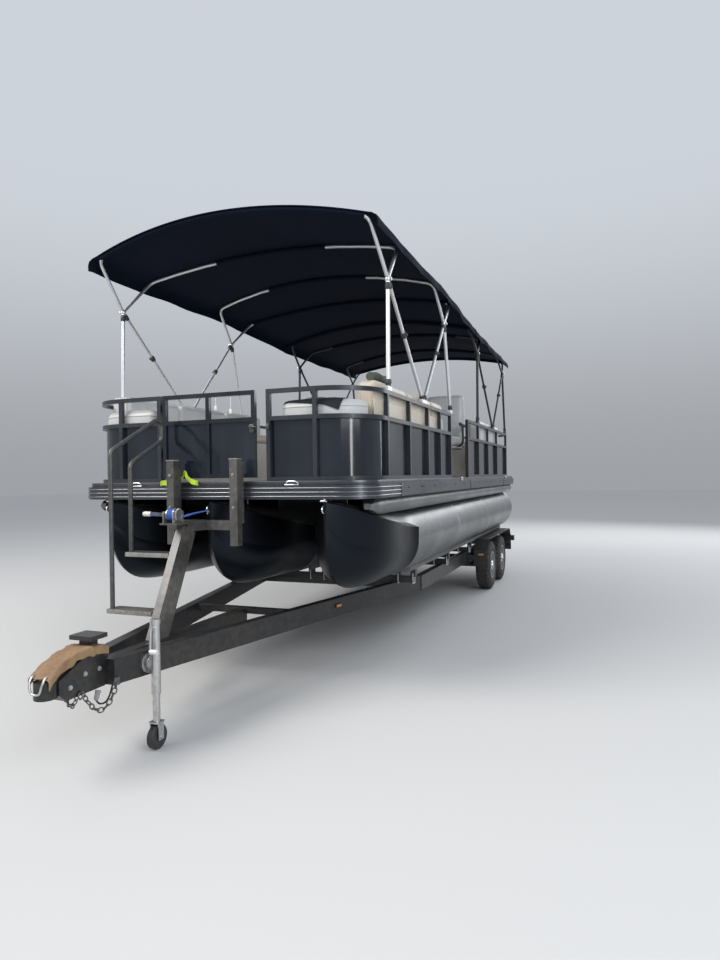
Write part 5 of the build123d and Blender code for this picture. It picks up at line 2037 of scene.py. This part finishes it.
@dataclass
class Studio:
    """Plain floor, soft lamps and the camera."""

    camera_spot: Point = (4.293, 2.838, 1.631)
    turn: float = 0.3651
    pitch: float = 0.0050
    roll: float = -0.0141
    focal_px: float = 658.09
    photo_height: float = 960.0
    sensor: float = 36.0
    horizon: Colour = (0.46, 0.48, 0.51)
    zenith: Colour = (0.82, 0.87, 0.94)

    def build(self) -> None:
        """Set up the floor, world, lamps and camera."""
        scene = bpy.context.scene
        scene.view_settings.view_transform = "Standard"
        self.world(scene)
        self.floor()
        self.lamps()
        self.camera(scene)

    def world(self, scene: bpy.types.Scene) -> None:
        """Pale, even surroundings.

        Args:
            scene: The scene that they surround.
        """
        world = bpy.data.worlds.new("studio")
        scene.world = world
        world.use_nodes = True
        tree = world.node_tree
        coords = tree.nodes.new("ShaderNodeTexCoord").outputs["Generated"]
        height = add_node(tree, "SeparateXYZ", vector=coords).outputs["Z"]
        rise = add_node(tree, "MapRange", from_min=-0.02, from_max=0.42, value=height)
        rise.interpolation_type = "SMOOTHSTEP"
        sky = mixed(tree, rise.outputs["Result"], (*self.horizon, 1.0), (*self.zenith, 1.0))
        shader = tree.nodes["Background"]
        feed(tree, shader.inputs["Color"], sky)
        feed(tree, shader.inputs["Strength"], 0.75)

    def floor(self) -> None:
        """A wide pale floor."""
        bpy.ops.object.select_all(action="DESELECT")
        bpy.ops.mesh.primitive_plane_add(size=120.0, location=(0.0, 0.0, 0.0))
        floor = bpy.context.object
        floor.name = "studio_floor"
        finish = Finish("floor_paint", (0.52, 0.52, 0.52), (0.52, 0.52, 0.52), 0.9, relief=0.0, specular=0.1)
        floor.data.materials.append(finish.make())

    def lamps(self) -> None:
        """A key lamp from the photo's sunny side, a fill, a back lamp and two strips for the gloss."""
        for name, where, aim, size, tall, watts, tint in (
                ("key", (9.0, -6.0, 9.5), (0.0, 0.0, 1.2), 7.0, 7.0, 1500.0, (1.0, 0.96, 0.90)),
                ("fill", (8.0, 9.0, 7.0), (0.0, 0.0, 1.2), 9.0, 9.0, 650.0, (0.88, 0.94, 1.0)),
                ("back", (-12.0, 4.0, 8.0), UP, 8.0, 8.0, 700.0, (1.0, 1.0, 1.0)),
                ("side_strip", (-11.5, 8.8, 3.6), (-1.0, 1.2, 1.7), 2.6, 3.6, 90.0, (0.95, 0.97, 1.0)),
                ("corner_strip", (8.2, 9.0, 2.9), (3.0, 1.2, 1.6), 0.9, 4.6, 110.0, (1.0, 0.98, 0.95))):
            data = bpy.data.lights.new(name, "AREA")
            data.shape = "RECTANGLE"
            data.size = size
            data.size_y = tall
            data.energy = watts
            data.color = tint
            lamp = bpy.data.objects.new(name, data)
            bpy.context.scene.collection.objects.link(lamp)
            lamp.location = where
            lamp.rotation_euler = (Vector(aim) - Vector(where)).to_track_quat("-Z", "Y").to_euler()

    def camera(self, scene: bpy.types.Scene) -> None:
        """Place the camera at the photo's viewpoint.

        Args:
            scene: The scene that gets the camera.
        """
        ahead = Vector((-math.cos(self.turn), -math.sin(self.turn), 0.0))
        right = Vector((-math.sin(self.turn), math.cos(self.turn), 0.0))
        up = Vector(UP)
        ahead_tilted = ahead * math.cos(self.pitch) - up * math.sin(self.pitch)
        up_tilted = up * math.cos(self.pitch) + ahead * math.sin(self.pitch)
        right_rolled = right * math.cos(self.roll) + up_tilted * math.sin(self.roll)
        up_rolled = up_tilted * math.cos(self.roll) - right * math.sin(self.roll)
        data = bpy.data.cameras.new("photo_camera")
        data.sensor_fit = "AUTO"
        data.sensor_width = self.sensor
        data.lens = self.focal_px / self.photo_height * self.sensor
        data.clip_end = 200.0
        camera = bpy.data.objects.new("photo_camera", data)
        scene.collection.objects.link(camera)
        turn = Matrix((right_rolled, up_rolled, -ahead_tilted)).transposed().to_4x4()
        camera.matrix_world = Matrix.Translation(spot(self.camera_spot)) @ turn
        scene.camera = camera


def dress_nodes() -> None:
    """Give every CAD node its finish."""
    for name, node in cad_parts.items():
        material = finish_for(name).make()
        if not node.data.materials:
            node.data.materials.append(material)
        for index in range(len(node.data.materials)):
            node.data.materials[index] = material


TOPS = {
    "front": SoftTop("front", [Bow(-0.140, 3.507, 0.10), Bow(-0.170, 3.515, 0.10), Bow(-0.860, 3.500, -0.10),
                               Bow(-2.020, 3.515, 0.10), Bow(-2.700, 3.488, -0.10), Bow(-3.800, 3.438, 0.10)],
                     [1.20, 0.55, 0.55, 1.20], rows=150),
    "rear": SoftTop("rear", [Bow(-3.752, 3.428, 0.10), Bow(-3.780, 3.430, 0.10), Bow(-4.420, 3.432, -0.10),
                             Bow(-5.770, 3.432, 0.10), Bow(-6.380, 3.425, -0.10), Bow(-6.412, 3.418, -0.10)],
                    [1.20, 0.9, 0.9, 1.20]),
}


def main() -> None:
    """Build every sub-assembly in order."""
    logging.basicConfig(level=logging.INFO, format="%(name)s %(message)s")
    dress_nodes()
    for top in TOPS.values():
        top.build()
    Seating().build()
    Covers().build()
    DeckEdge().build()
    FenceFittings().build()
    TopFittings().build()
    Tubes().build()
    Helm().build()
    MotorTrim().build()
    RoadWheels().build()
    TrailerFittings().build()
    Studio().build()


if __name__ == "__main__":
    main()
